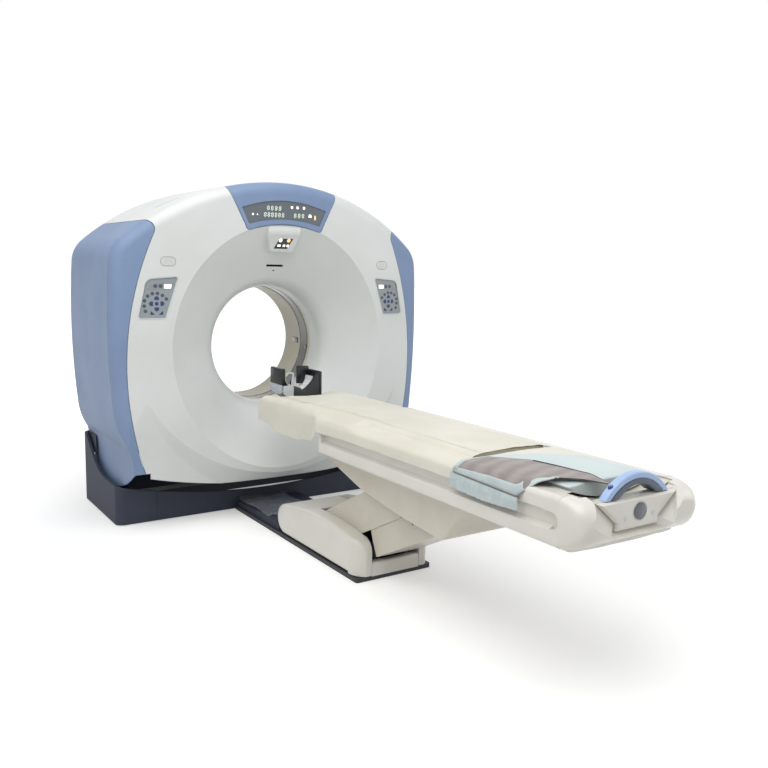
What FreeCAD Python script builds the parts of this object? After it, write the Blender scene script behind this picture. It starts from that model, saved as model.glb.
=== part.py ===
import FreeCAD, Part
import math
import os
import Sketcher

# A computed tomography scanner: a tilting gantry with a 700 mm tunnel on a floor base,
# and a patient table whose parallel leg arms raise a long top with a sliding cradle.
# Millimetres. The origin is on the floor under the middle of the tunnel, +Z is up,
# +Y runs through the tunnel away from the table, and +X is on the right of a person
# who stands at the table and faces the gantry.

DIMENSIONS = {
    # gantry
    "iso_height": 1000,
    "bore_radius": 350,
    "tunnel_half": 168,
    "crown_height": 1945,
    "crown_radius": 1400,
    "side_half": 990,
    "side_radius": 5000,
    "shoulder_radius": 180,
    "front_depth": 512,
    "front_bow_radius": 8280,
    "rear_depth": 435,
    "edge_round": 64,
    "cover_wall": 6,
    "cover_seam": 3,
    "front_seam": 402,
    "rear_seam": 330,
    "funnel_rim": 712,
    "funnel_angle": 59.5,
    "bell_start": 230,
    "bell_radius": 120,
    "chin_rim": 845,
    "chin_lean": 3,
    "rear_rim": 560,
    "reach_middle": 915,
    "reach_side": 806,
    "low_half": 900,
    # gantry base
    "base_half": 930,
    "base_front": 275,
    "base_rear": 430,
    "base_wall": 16,
    "base_seam": 702,
    "column_in": 800,
    "column_out": 868,
    "column_half": 40,
    "trunnion_radius": 40,
    "running_gap": 0.05,
    # rotor
    "drum_radius": 735,
    "hub_radius": 400,
    "pulley_radius": 60,
    "pulley_x": -640,
    "pulley_up": 620,
    "belt_thick": 4,
    # tilt drive
    "sector_pitch": 200,
    "pinion_pitch": 20,
    "tooth_height": 5,
    # table base and leg
    "plate_half": 217,
    "plate_thick": 22,
    "plate_foot": 1682,
    "cover_in": 137,
    "cover_out": 215,
    "leg_angle": 27,
    "arm_length": 750,
    "upper_pivot_y": -1330,
    "upper_pivot_z": 150,
    "lower_pivot_y": -1600,
    "lower_pivot_z": 120,
    "pin_radius": 15,
    "open_gap": 0.6,
    "arm_thick": 18,
    "lift_foot_y": -1460,
    "lift_foot_z": 60,
    "lift_along": 300,
    "lift_above": 66,
    "rod_radius": 17,
    "rod_pin_radius": 10,
    "rod_play": 9,
    "leg_half": 135,
    "leg_wall": 4,
    # table top
    "hull_half": 198,
    "body_half": 290,
    "body_top": 762,
    "body_low": 585,
    "body_head": 1385,
    "body_foot": 2980,
    "trough_half": 236,
    "slot_half": 180,
    "trough_floor": 624,
    "cradle_half": 230,
    "cradle_edge": 757,
    "cradle_under": 690,
    "cradle_head": 700,
    "cradle_foot": 3050,
    "mattress_half": 205,
    "mattress_top": 792,
    "pad_head": 2470,
    "pad_foot": 2985,
    "bracket_face": 3087,
}

doc = FreeCAD.newDocument("ct_scanner")
sheet = doc.addObject("Spreadsheet::Sheet", "Dims")
for row, (alias, number) in enumerate(DIMENSIONS.items(), 1):
    sheet.set(f"A{row}", alias)
    sheet.set(f"B{row}", str(number))
    sheet.setAlias(f"B{row}", alias)
doc.recompute()

PLANES = {"XY": "XY_Plane", "XZ": "XZ_Plane", "YZ": "YZ_Plane"}
nodes = []


def value(expression):
    """The number that an expression gives."""
    return float(sheet.evalExpression(str(expression)))


def node(made, label):
    """Name a finished sub-part."""
    made.Label = label
    nodes.append(made)
    return made


def place(made, corner):
    """Bind where an object sits to three expressions."""
    for axis, expression in zip("xyz", corner):
        made.setExpression("Placement.Base." + axis, str(expression))
    return made


def box(name, corner, size):
    """A block from its low corner and its size along X, Y and Z."""
    made = doc.addObject("Part::Box", name)
    for side, expression in zip(("Length", "Width", "Height"), size):
        made.setExpression(side, str(expression))
    return place(made, corner)


def cylinder(name, axis, start, radius, length):
    """A round bar from the middle of its first end, along X, Y or Z."""
    made = doc.addObject("Part::Cylinder", name)
    turns = {
        "X": FreeCAD.Rotation(FreeCAD.Vector(0, 1, 0), 90),
        "Y": FreeCAD.Rotation(FreeCAD.Vector(1, 0, 0), -90),
        "Z": FreeCAD.Rotation(),
    }
    made.Placement = FreeCAD.Placement(FreeCAD.Vector(), turns[axis])
    made.setExpression("Radius", str(radius))
    made.setExpression("Height", str(length))
    return place(made, start)


def cut(name, base, *tools):
    """Take tools away from a base."""
    made = doc.addObject("Part::Cut", name)
    made.Base = base
    made.Tool = tools[0] if len(tools) == 1 else fuse(name + "_tools", *tools)
    if len(tools) > 1:
        made.Tool.Refine = False
    made.Refine = False
    return made


def fuse(name, *pieces):
    """Join pieces into one."""
    made = doc.addObject("Part::MultiFuse", name)
    made.Shapes = list(pieces)
    made.Refine = True
    return made


def common(name, base, *pieces):
    """Keep what a base shares with each of the other pieces."""
    made = base
    for number, piece in enumerate(pieces, 1):
        step = doc.addObject("Part::Common", f"{name}_{number}" if number < len(pieces) else name)
        step.Base = made
        step.Tool = piece
        step.Refine = False
        made = step
    return made


def mirror(name, source):
    """The same piece on the other side of the middle plane."""
    made = doc.addObject("Part::Mirroring", name)
    made.Source = source
    made.Normal = FreeCAD.Vector(1, 0, 0)
    return made


def rounded(name, base, radius, wanted):
    """Round the edges of a base that a test picks by their middle point."""
    doc.recompute()
    picked = []
    for number, edge in enumerate(base.Shape.Edges, 1):
        middle = edge.valueAt((edge.FirstParameter + edge.LastParameter) / 2)
        if wanted(middle, edge):
            picked.append((number, radius, radius))
    made = doc.addObject("Part::Fillet", name)
    made.Base = base
    made.Edges = picked
    doc.recompute()
    return made


def along_x(point, edge):
    """Is an edge straight and parallel to X."""
    first, last = edge.Vertexes[0], edge.Vertexes[-1]
    return abs(first.Y - last.Y) < 0.1 and abs(first.Z - last.Z) < 0.1 and abs(first.X - last.X) > 1


def draw(body, name, plane, path, offset):
    """Draw a closed outline on one of a body's own planes.

    Each corner is (x, y) or (x, y, mid_x, mid_y), where the last two name a point on the
    arc that leaves that corner. Each corner is held by expressions.
    """
    sketch = body.newObject("Sketcher::SketchObject", name)
    support = [f for f in body.Origin.OriginFeatures if f.Role == PLANES[plane]]
    sketch.AttachmentSupport = (support[0], [""])
    sketch.MapMode = "FlatFace"
    for axis, expression in zip("xyz", offset):
        sketch.setExpression("AttachmentOffset.Base." + axis, str(expression))
    corners = [FreeCAD.Vector(value(c[0]), value(c[1]), 0) for c in path]
    count = len(path)
    for i, corner in enumerate(path):
        start, end = corners[i], corners[(i + 1) % count]
        if len(corner) == 4:
            middle = FreeCAD.Vector(value(corner[2]), value(corner[3]), 0)
            clockwise = (middle - start).cross(end - middle).z < 0
            arc = Part.Arc(end, middle, start) if clockwise else Part.Arc(start, middle, end)
            sketch.addGeometry(arc, False)
        else:
            sketch.addGeometry(Part.LineSegment(start, end), False)
    shapes = sketch.Geometry

    def end_at(i, point):
        return 1 if (shapes[i].StartPoint - point).Length < 1e-6 else 2

    for i in range(count):
        after = (i + 1) % count
        joint = ("Coincident", i, end_at(i, corners[after]), after, end_at(after, corners[after]))
        sketch.addConstraint(Sketcher.Constraint(*joint))
    for i, corner in enumerate(path):
        for kind, held, expression in zip(("DistanceX", "DistanceY"), corners[i], corner):
            size = Sketcher.Constraint(kind, -1, 1, i, end_at(i, corners[i]), held)
            number = sketch.addConstraint(size)
            if "Dims" in str(expression):
                sketch.setExpression(f"Constraints[{number}]", str(expression))
    return sketch


def pad(name, plane, path, start, length):
    """An outline carried along its plane's normal, from start to start plus length."""
    body = doc.addObject("PartDesign::Body", name)
    away = f"-({start}) - ({length})" if plane == "XZ" else start
    sketch = draw(body, name + "_outline", plane, path, (0, 0, away))
    made = body.newObject("PartDesign::Pad", name + "_pad")
    made.Profile = sketch
    made.setExpression("Length", str(length))
    return body


def turned(name, plane, path, centre, degrees=360):
    """An outline turned about the plane's first axis, which sits at a height."""
    body = doc.addObject("PartDesign::Body", name)
    sketch = draw(body, name + "_outline", plane, path, (0, centre, 0))
    made = body.newObject("PartDesign::Revolution", name + "_turn")
    made.Profile = sketch
    made.ReferenceAxis = (sketch, ["H_Axis"])
    made.Angle = degrees
    made.Midplane = degrees != 360
    return body


def both_sides(right):
    """A path that is the same on both sides, from its right half, listed downwards.

    Arc points belong to the corner above them, so they move to the next one on the left.
    """
    left = []
    for i, corner in enumerate(right):
        arc = right[i - 1][2:] if i else ()
        point = [f"-({corner[0]})", corner[1]]
        if arc:
            point += [f"-({arc[0]})", arc[1]]
        left.append(tuple(point))
    plain = [right[i] for i in range(len(right) - 1)] + [right[-1][:2]]
    return plain + left[::-1]


# ---------------------------------------------------------------- gantry envelope


def shoulder():
    """Centre of the circle that meets the crown arc and the side arc without a kink."""
    crown = value("Dims.crown_radius - Dims.shoulder_radius")
    side = value("Dims.side_radius - Dims.shoulder_radius")
    crown_z = value("Dims.crown_height - Dims.crown_radius")
    side_x = value("Dims.side_half - Dims.side_radius")
    side_z = 1120.0
    dx, dz = -side_x, crown_z - side_z
    apart = math.hypot(dx, dz)
    along = (side**2 - crown**2 + apart**2) / (2 * apart)
    across = math.sqrt(side**2 - along**2)
    ux, uz = dx / apart, dz / apart
    return side_x + along * ux - across * uz, side_z + along * uz + across * ux, side_x, side_z


def ray(from_x, from_z, to_x, to_z, reach):
    """The point at a distance from one point towards another."""
    far = math.hypot(to_x - from_x, to_z - from_z)
    return from_x + (to_x - from_x) * reach / far, from_z + (to_z - from_z) * reach / far


def envelope(name, inset, low):
    """The gantry's full outer form, or the same form set in by a distance."""
    centre_x, centre_z, side_x, side_z = shoulder()
    crown = value("Dims.crown_radius") - inset
    side = value("Dims.side_radius") - inset
    crown_z = value("Dims.crown_height - Dims.crown_radius")
    round_radius = value("Dims.shoulder_radius") - inset
    top = ray(0, crown_z, centre_x, centre_z, crown)
    bend = ray(side_x, side_z, centre_x, centre_z, side)
    middle = ((top[0] + bend[0]) / 2, (top[1] + bend[1]) / 2)
    corner = ray(centre_x, centre_z, middle[0], middle[1], round_radius)
    foot_x = side_x + math.sqrt(side**2 - (low - side_z) ** 2)
    right = [
        (*top, *corner),
        (*bend, side_x + side, side_z),
        (foot_x, low),
    ]
    path = both_sides(right)
    path[-1] = (*path[-1][:2], 0, crown_z + crown)
    block = pad(name + "_front_view", "XZ", path, -560, 1060)
    bow = value("Dims.front_bow_radius") - inset
    front = -value("Dims.front_depth") + inset
    edge = front + bow - math.sqrt(bow**2 - 1050**2)
    rear = value("Dims.rear_depth") - inset
    plan = [(-1050, rear), (-1050, edge, 0, front), (1050, edge), (1050, rear)]
    depth = pad(name + "_plan", "XY", plan, low - 10, 2200)
    sharp = common(name + "_sharp", block, depth)
    radius = value("Dims.edge_round") - inset

    def outer_edge(point, edge):
        on_end = point.y < -330 or point.y > rear - 1
        flat = abs(edge.Vertexes[0].Y - edge.Vertexes[-1].Y) < 150
        return on_end and flat and point.z > low + 5 and edge.Length > 30

    return rounded(name, sharp, radius, outer_edge)


def funnel(name, wall):
    """The tunnel with its front bell and rear flare, or the same with a wall round it."""
    bore = f"Dims.bore_radius + {wall}"
    angle = math.radians(value("Dims.funnel_angle"))
    start = value("Dims.bell_start")
    bend = value("Dims.bell_radius") - wall
    centre = value("Dims.bore_radius + Dims.bell_radius")
    end_y, end_r = -start - bend * math.sin(angle), centre - bend * math.cos(angle)
    mid_y, mid_r = -start - bend * math.sin(angle / 2), centre - bend * math.cos(angle / 2)
    path = [
        (-620, 0),
        (-620, end_r + (620 + end_y) * math.tan(angle)),
        (end_y, end_r, mid_y, mid_r),
        ("-Dims.bell_start", bore),
        ("Dims.tunnel_half", bore, 200, f"{bore} + 12"),
        (236, f"{bore} + 42"),
        ("Dims.rear_depth + 60", f"Dims.rear_rim + 48 + {wall}"),
        ("Dims.rear_depth + 60", 0),
    ]
    return turned(name, "YZ", path, "Dims.iso_height")


def gantry_shell():
    """All the gantry covers in one skin, open below, before it is parted."""
    wall = value("Dims.cover_wall")
    outer = envelope("outer_form", 0, 190)
    inner = envelope("inner_form", wall, 60)
    shaped = cut("outer_shaped", outer, side_relief("relief", 0), chin("chin", 0))
    shaped_inner = cut("inner_shaped", inner, side_relief("relief_inner", wall), chin("chin_inner", wall))
    opened = cut("outer_opened", shaped, funnel("funnel_air", 0))
    hollow = cut("hollow", shaped_inner, funnel("funnel_skin", wall))
    return cut("whole_shell", opened, hollow, below_reach())


def chin(name, back):
    """What the lower front gives up: a sloping crescent under the cone and flat corners."""
    rim = "Dims.funnel_rim"
    path = [
        (-720, rim),
        (f"-549 + {back}", rim),
        (f"-486 + {back}", "Dims.chin_rim"),
        (f"-486 + {back}", 1500),
        (-720, 1500),
    ]
    ring = turned(name, "YZ", path, 0)
    lower = box(name + "_half", (-1200, -900, -1600), (2400, 1300, 1600))
    made = common(name + "_lower", ring, lower)
    turn = FreeCAD.Rotation(FreeCAD.Vector(1, 0, 0), value("Dims.chin_lean"))
    made.Placement = FreeCAD.Placement(FreeCAD.Vector(), turn)
    return place(made, (0, 0, "Dims.iso_height"))


def below_reach():
    """What the covers must stay clear of when the gantry tilts over its base."""
    block = box("reach_block", (-1100, -700, -100), (2200, 1400, 1100))
    path = [
        (-1200, 0),
        (-1200, "Dims.reach_side - 70"),
        ("-Dims.low_half", "Dims.reach_side", 0, "Dims.reach_middle"),
        ("Dims.low_half", "Dims.reach_side"),
        (1200, "Dims.reach_side - 70"),
        (1200, 0),
    ]
    barrel = turned("reach_barrel", "XZ", path, "Dims.iso_height")
    return cut("below_reach", block, barrel)


def side_relief(name, inset):
    """The lower flanks draw in so that they pass inside the ends of the base."""
    half = f"Dims.low_half - {inset}"
    path = [
        (1100, 720 + inset),
        (971 - inset, 700 + inset, 951 - inset, 570 + inset / 2),
        (f"{half} + 2", 460, 890 - inset, 405),
        (f"{half} - 14", 340),
        (f"{half} - 16", 50),
        (1100, 50),
    ]
    right = pad(name + "_right", "XZ", path, -600, 1200)
    return fuse(name + "_both", right, mirror(name + "_left", right))


# ---------------------------------------------------------------- gantry covers


def blue_side_path(gap):
    """Front view of the part of the gantry that the right side covers take up."""
    return [
        (1120, 1712 - gap),
        (812 + gap, 1706 - gap, 762 + gap, 1690 - gap),
        (751 + gap, 1640, 903 + gap, 1040),
        (805 + gap, 300),
        (800 + gap, 60),
        (1120, 60),
    ]


def console_path(spread):
    """Front view of the display console, which narrows downwards."""
    return [
        (f"-382 - {spread}", 2010),
        (f"-335 - {spread}", 1873),
        (f"-244 - {spread}", f"1696 - {spread}", -236 - spread, 1678 - spread),
        (f"-214 - {spread}", f"1672 - {spread}", 0, 1705 - spread),
        (f"214 + {spread}", f"1672 - {spread}", 236 + spread, 1678 - spread),
        (f"244 + {spread}", f"1696 - {spread}"),
        (f"335 + {spread}", 1873),
        (f"382 + {spread}", 2010),
    ]


def window_path(spread):
    """Front view of the display window in the console."""
    return [
        (-262 - spread, 1784, -264 - spread, 1794 + spread),
        (-252 - spread, 1798 + spread, 0, 1841 + spread),
        (252 + spread, 1798 + spread, 264 + spread, 1794 + spread),
        (262 + spread, 1784),
        (230 + spread, 1716, 224 + spread, 1707 - spread),
        (212 + spread, 1706 - spread, 0, 1735 - spread),
        (-212 - spread, 1706 - spread, -224 - spread, 1707 - spread),
        (-230 - spread, 1716),
    ]


def keypad_path(spread):
    """Front view of the right keypad, wider at the top inside and the bottom outside."""
    return [
        (843 + spread, 1196, 838 + spread, 1187 - spread),
        (830, 1184 - spread),
        (712, 1184 - spread, 702 - spread, 1187 - spread),
        (698 - spread, 1198),
        (636 - spread, 1388, 636 - spread, 1400 + spread),
        (648, 1404 + spread),
        (770, 1394 + spread, 800 + spread, 1378 + spread),
        (810 + spread, 1350),
    ]


def oval_path(centre_x, centre_z, half, radius):
    """A slot shape across X."""
    left, right = centre_x - half + radius, centre_x + half - radius
    low, high = centre_z - radius, centre_z + radius
    return [
        (left, low),
        (right, low, centre_x + half, centre_z),
        (right, high),
        (left, high, centre_x - half, centre_z),
    ]


def gantry_covers():
    """Part the skin into the covers that come off the real gantry, and fill their openings."""
    shell = gantry_shell()
    gap = value("Dims.cover_seam") / 2
    blue = pad("blue_front_view", "XZ", blue_side_path(0), -600, 1200)
    blue_left = mirror("blue_front_view_left", blue)
    seam = "Dims.front_seam"
    ahead = box("ahead", (-1100, -700, 0), (2200, f"700 - {seam} - {gap}", 2100))
    throat = cylinder("throat", "Y", (0, -700, "Dims.iso_height"), 730, "700 - Dims.tunnel_half")
    front_zone = fuse("front_zone", ahead, throat)
    behind = box("behind", (-1100, f"Dims.rear_seam + {gap}", 0), (2200, 300, 2100))
    outlet = cylinder("outlet", "Y", (0, "Dims.tunnel_half", "Dims.iso_height"), 700, 500)
    rear_zone = fuse("rear_zone", behind, outlet)
    middle = box("middle", (-1100, f"-{seam} + {gap}", 0), (2200, f"Dims.rear_seam + {seam} - {2 * gap}", 2100))
    tight = pad("blue_less_seam", "XZ", blue_side_path(2 * gap), -600, 1200)
    console_zone = pad("console_zone", "XZ", console_path(gap), -600, 600)
    console_fill = pad("console_fill", "XZ", console_path(-gap), -600, f"600 - {seam} - {gap}")
    window_hole = pad("window_hole", "XZ", window_path(0), -600, 200)
    keypad_hole = pad("keypad_hole", "XZ", keypad_path(0), -600, 200)
    oval_hole = pad("oval_hole", "XZ", oval_path(683, 1487, 42, 25), -600, 200)

    relief = column_relief()
    front_skin = common("front_skin", shell, front_zone)
    white = cut(
        "front_white", front_skin, blue, blue_left, console_zone,
        keypad_hole, mirror("keypad_hole_left", keypad_hole),
        oval_hole, mirror("oval_hole_left", oval_hole),
        laser_slot(), hood_hole(), relief,
    )
    front = fuse("front_cover_solid", white, hood())
    node(cut("front_cover_cut", front, hood_window("hood_opening", 0, -540, 92)), "front_cover")
    corner_skin = common("corner_skin", front_skin, tight, ahead)
    corner = node(cut("corner_right", corner_skin, relief), "right_corner_cover")
    node(mirror("corner_left", corner), "left_corner_cover")
    side_skin = common("side_skin", shell, tight)
    side = node(cut("side_right", side_skin, ahead_wide(), throat_wide(), relief), "right_side_cover")
    node(mirror("side_left", side), "left_side_cover")
    top_skin = common("top_skin", shell, middle)
    slot = top_slot("top_slot", 0, 0, 60)
    bare = cut("top_bare", top_skin, blue, mirror("blue_again", blue), throat_wide(), slot)
    tray = cut("top_tray", top_slot("top_tray_block", 6, -4, 12.5), slot)
    node(fuse("top_cover_solid", bare, tray), "top_cover")
    rear_skin = common("rear_skin", shell, rear_zone)
    node(cut("rear_cover_cut", rear_skin, blue, mirror("blue_rear", blue), relief), "rear_cover")
    console_skin = common("console_skin", shell, console_fill)
    node(cut("console_cut", console_skin, window_hole), "display_console")
    layers()


def ahead_wide():
    """Everything in front of the side seam, with half the seam's width added."""
    return box("ahead_wide", (-1100, -700, 0), (2200, "700 - Dims.front_seam + Dims.cover_seam / 2", 2100))


def throat_wide():
    """The space round the tunnel that side and top covers stay out of."""
    return cylinder("throat_wide", "Y", (0, -700, "Dims.iso_height"), 745, 1400)


def column_relief():
    """The front and rear walls end higher where they pass the columns."""
    pieces = []
    for tag, start, foot in (("front", -600, 330), ("rear", 330, 404)):
        path = [(790, 60), (790, foot), (876, foot), (876, 60)]
        if tag == "rear":
            path = [(700, 60), (760, foot), (1000, foot), (1000, 60)]
        right = pad(f"relief_{tag}_right", "XZ", path, start, 260)
        pieces += [right, mirror(f"relief_{tag}_left", right)]
    return fuse("column_relief", *pieces)


def top_slot(name, spread, low, height):
    """The long slot in the top cover on the left, or the tray that closes it below."""
    slot = pad(name, "XY", oval_path(0, 0, 95 + spread, 16 + spread), low, height)
    slot.Placement = FreeCAD.Placement(
        FreeCAD.Vector(-575, -210, 1808), FreeCAD.Rotation(FreeCAD.Vector(0, 1, 0), -24.5)
    )
    return slot


def hood():
    """The small hood over the tunnel that holds the breathing lights."""
    side = [(-400, 1702), (-500, 1702, -509, 1668), (-497, 1636), (-459.5, 1550), (-400, 1550)]
    right = [(104, 1704), (100, 1640), (76, 1570, 70, 1556), (56, 1552)]
    deep = pad("hood_side_view", "YZ", side, -110, 220)
    block = common("hood_block", deep, pad("hood_front_view", "XZ", both_sides(right), -560, 200))

    def front_edge(point, edge):
        return point.y < -455 and not (along_x(point, edge) and point.z > 1600)

    return cut("hood_shape", rounded("hood_rounded", block, 8, front_edge), hood_hollow())


def hood_hollow():
    """The inside of the hood."""
    path = [(-380, 1650), (-492, 1650), (-490, 1634), (-456.5, 1564), (-380, 1564)]
    return pad("hood_hollow", "YZ", path, -66, 132)


def hood_hole():
    """The opening behind the hood."""
    return box("hood_hole", (-62, -560, 1566), (124, 200, 80))


def hood_window(name, spread, start, length):
    """The slanted window of the hood, or the outline of the lens behind it."""
    path = [
        (-55 - spread, 1571 - spread),
        (34 + spread, 1571 - spread),
        (61 + spread, 1629 + spread),
        (-28 - spread, 1629 + spread),
    ]
    return pad(name, "XZ", path, start, length)


def hood_lens():
    """The clear pane against the back of the hood's sloping front."""
    path = [(-489.6, 1634), (-456.1, 1564), (-452.6, 1564), (-486.1, 1634)]
    slab = pad("lens_slab", "YZ", path, -66, 132)
    return common("hood_lens", slab, hood_window("lens_outline", 3, -540, 140))


def laser_slot():
    """The slot in the bell where the light line leaves, and the small hole under it."""
    slot = box("laser_slot_long", (-55, -420, 1468), (110, 120, 12))
    return fuse("laser_slot", slot, cylinder("laser_hole", "Y", (0, -420, 1445), 5, 120))


def layers():
    """Panels behind openings of the skin, and buttons in them, that follow its bow."""
    outer, skin_back = doc.getObject("outer_form"), doc.getObject("inner_form")
    panel_layer = cut("panel_layer", skin_back, envelope("panel_back", 14, 400))
    panel = pad("keypad_block", "XZ", keypad_path(9), -600, 200)
    right = node(common("keypad_right", panel_layer, panel), "right_keypad")
    node(mirror("keypad_left", right), "left_keypad")
    glass = pad("window_block", "XZ", window_path(8), -600, 200)
    node(common("display_window_solid", panel_layer, glass), "display_window")
    oval = pad("oval_block", "XZ", oval_path(683, 1487, 40, 23), -600, 200)
    button = node(common("oval_right", cut("button_layer", outer, skin_back), oval), "right_oval_button")
    node(mirror("oval_left", button), "left_oval_button")
    node(hood_lens(), "indicator_lens")


# ---------------------------------------------------------------- tunnel


def tube(name, low, high, inner, outer, centre="Dims.iso_height"):
    """A ring round the tunnel's axis."""
    path = [(low, inner), (low, outer), (high, outer), (high, inner)]
    return turned(name, "YZ", path, centre)


def tunnel_rings():
    """The ring that the beam passes through, and the grooved liner that holds it."""
    bore = "Dims.bore_radius"
    node(tube("scan_window_ring", -133, -36, f"{bore} + 3", f"{bore} + 7"), "scan_window")
    path = [
        ("-Dims.tunnel_half + 1", bore),
        (-136, bore),
        (-136, f"{bore} + 7"),
        (-33, f"{bore} + 7"),
        (-33, bore),
        ("Dims.tunnel_half - 1", bore),
        ("Dims.tunnel_half - 1", f"{bore} + 6"),
        (-27, f"{bore} + 6"),
        (-27, f"{bore} + 11"),
        (-142, f"{bore} + 11"),
        (-142, f"{bore} + 6"),
        ("-Dims.tunnel_half + 1", f"{bore} + 6"),
    ]
    node(turned("liner", "YZ", path, "Dims.iso_height"), "tunnel_liner")


# ---------------------------------------------------------------- gantry structure


def base_frame():
    """Floor rails, cross rails and the two columns that carry the tilt bearings."""
    parts = [box("rail_front", (-880, -240, 0), (1760, 90, 58)), box("rail_rear", (-880, 150, 0), (1760, 90, 58))]
    for side in (-1, 1):
        low = "Dims.column_in" if side > 0 else "-Dims.column_out"
        width = "Dims.column_out - Dims.column_in"
        tag = "right" if side > 0 else "left"
        rail = (low, -240, 0)
        parts.append(box(f"rail_{tag}", rail, (width, 650, 58)))
        foot = [
            (-200, 57),
            (-170, 168),
            ("-Dims.column_half", 176),
            ("-Dims.column_half", 600),
            (-66, 880),
            (-66, "Dims.iso_height", 0, "Dims.iso_height + 66"),
            (66, "Dims.iso_height"),
            (66, 880),
            ("Dims.column_half", 600),
            ("Dims.column_half", 176),
            (170, 168),
            (200, 57),
        ]
        column = pad(f"column_{tag}", "YZ", foot, low, width)
        bore = cylinder(f"column_bore_{tag}", "X", (f"{low} - 5", 0, "Dims.iso_height"),
                        "Dims.trunnion_radius + Dims.running_gap", f"{width} + 10")
        parts.append(cut(f"column_bored_{tag}", column, bore))
    frame = fuse("base_frame_solid", *parts)
    holes = [cylinder(f"anchor_{i}", "Z", (x, y, -5), 9, 80)
             for i, (x, y) in enumerate([(-600, -195), (600, -195), (-600, 195), (600, 195)])]
    node(cut("base_frame_drilled", frame, *holes), "base_frame")


def base_covers():
    """Moulded walls round the floor base; their top edge dips in the middle."""
    wall = "Dims.base_wall"
    outer = box("base_outer", ("-Dims.base_half", "-Dims.base_front", 4),
                ("2 * Dims.base_half", "Dims.base_front + Dims.base_rear", 440))
    soft = rounded("base_soft", outer, 46, lambda p, e: abs(e.Vertexes[0].Z - e.Vertexes[-1].Z) > 400)
    inner = box("base_inner", (f"-Dims.base_half + {wall}", f"-Dims.base_front + {wall}", -10),
                (f"2 * Dims.base_half - 2 * {wall}", f"Dims.base_front + Dims.base_rear - 2 * {wall}", 600))
    inside = rounded("base_inner_soft", inner, 30, lambda p, e: abs(e.Vertexes[0].Z - e.Vertexes[-1].Z) > 400)
    walls = cut("base_walls", soft, inside)
    dip = pad("base_dip", "XZ", [(-905, 222, 0, 112), (905, 222), (905, 500), (-905, 500)], -400, 700)
    ends = pad("base_ends", "YZ", [(-400, 226), (-275, 226), (-30, 230, 120, 262), (220, 318, 300, 380), (352, 418, 385, 424),
                                   (500, 424), (500, 600), (-400, 600)], -1000, 2000)
    rear = pad("base_rear_top", "XZ", [(-905, 150), (905, 150), (905, 500), (-905, 500)], 300, 300)
    shaped = cut("base_shaped", walls, dip, ends, rear)
    doorway = box("table_doorway", (-210, -300, -5), (420, 60, 30))
    opened = cut("base_opened", shaped, doorway)
    middle = box("base_middle", ("-Dims.base_seam + 1", -400, -50), ("2 * Dims.base_seam - 2", 500, 900))
    node(common("base_front_piece", opened, middle), "base_front_cover")
    for side in (-1, 1):
        tag = "right" if side > 0 else "left"
        low = "Dims.base_seam + 1" if side > 0 else -1000
        zone = box(f"base_zone_{tag}", (low, -400, -50), ("999 - Dims.base_seam", 900, 900))
        node(common(f"base_{tag}_piece", opened, zone), f"base_{tag}_cover")
    rear_zone = box("base_zone_rear", ("-Dims.base_seam + 1", 200, -50), ("2 * Dims.base_seam - 2", 400, 900))
    node(common("base_rear_piece", opened, rear_zone), "base_rear_cover")


def gantry_frame():
    """The ring casting with the main bearing's outer race, which swings on two trunnions."""
    plate = tube("frame_plate", 42, 108, 440, 760)
    parts = [plate]
    for side in (-1, 1):
        tag = "right" if side > 0 else "left"
        cheek = box(f"cheek_{tag}", (742 if side > 0 else -786, -90, 900), (44, 198, 200))
        end = 898 if side > 0 else 868
        stub = cylinder(f"trunnion_{tag}", "X", (780 if side > 0 else -end, 0, "Dims.iso_height"),
                        "Dims.trunnion_radius", end - 780)
        web = box(f"web_{tag}", (640 if side > 0 else -760, 42, 880), (120, 66, 240))
        parts += [cheek, stub, web]
    arm = box("motor_arm", ("Dims.pulley_x - 70", 42, "Dims.iso_height + 380"), (190, 66, 330))
    hub_clear = cylinder("hub_clear", "Y", (0, -100, "Dims.iso_height"), 440, 400)
    shaft = cylinder("motor_shaft_hole", "Y", ("Dims.pulley_x", 0, "Dims.iso_height + Dims.pulley_up"), 26, 200)
    swing = cylinder("drum_clear", "Y", (0, -200, "Dims.iso_height"), 741, 241)
    joined = fuse("frame_joined", *parts, arm)
    windows = [frame_window(i) for i in range(6)]
    casting = cut("frame_cut", joined, hub_clear, shaft, swing, *windows)
    race = tube("bearing_ring", 40, 104, "Dims.hub_radius + Dims.running_gap", 441)
    node(fuse("frame_with_race", casting, race), "gantry_frame")


def frame_window(index):
    """A lightening hole in the ring casting."""
    angle = math.radians(60 * index + 30)
    return cylinder(f"frame_window_{index}", "Y",
                    (600 * math.cos(angle), 0, f"Dims.iso_height + {600 * math.sin(angle)}"), 70, 200)


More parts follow.
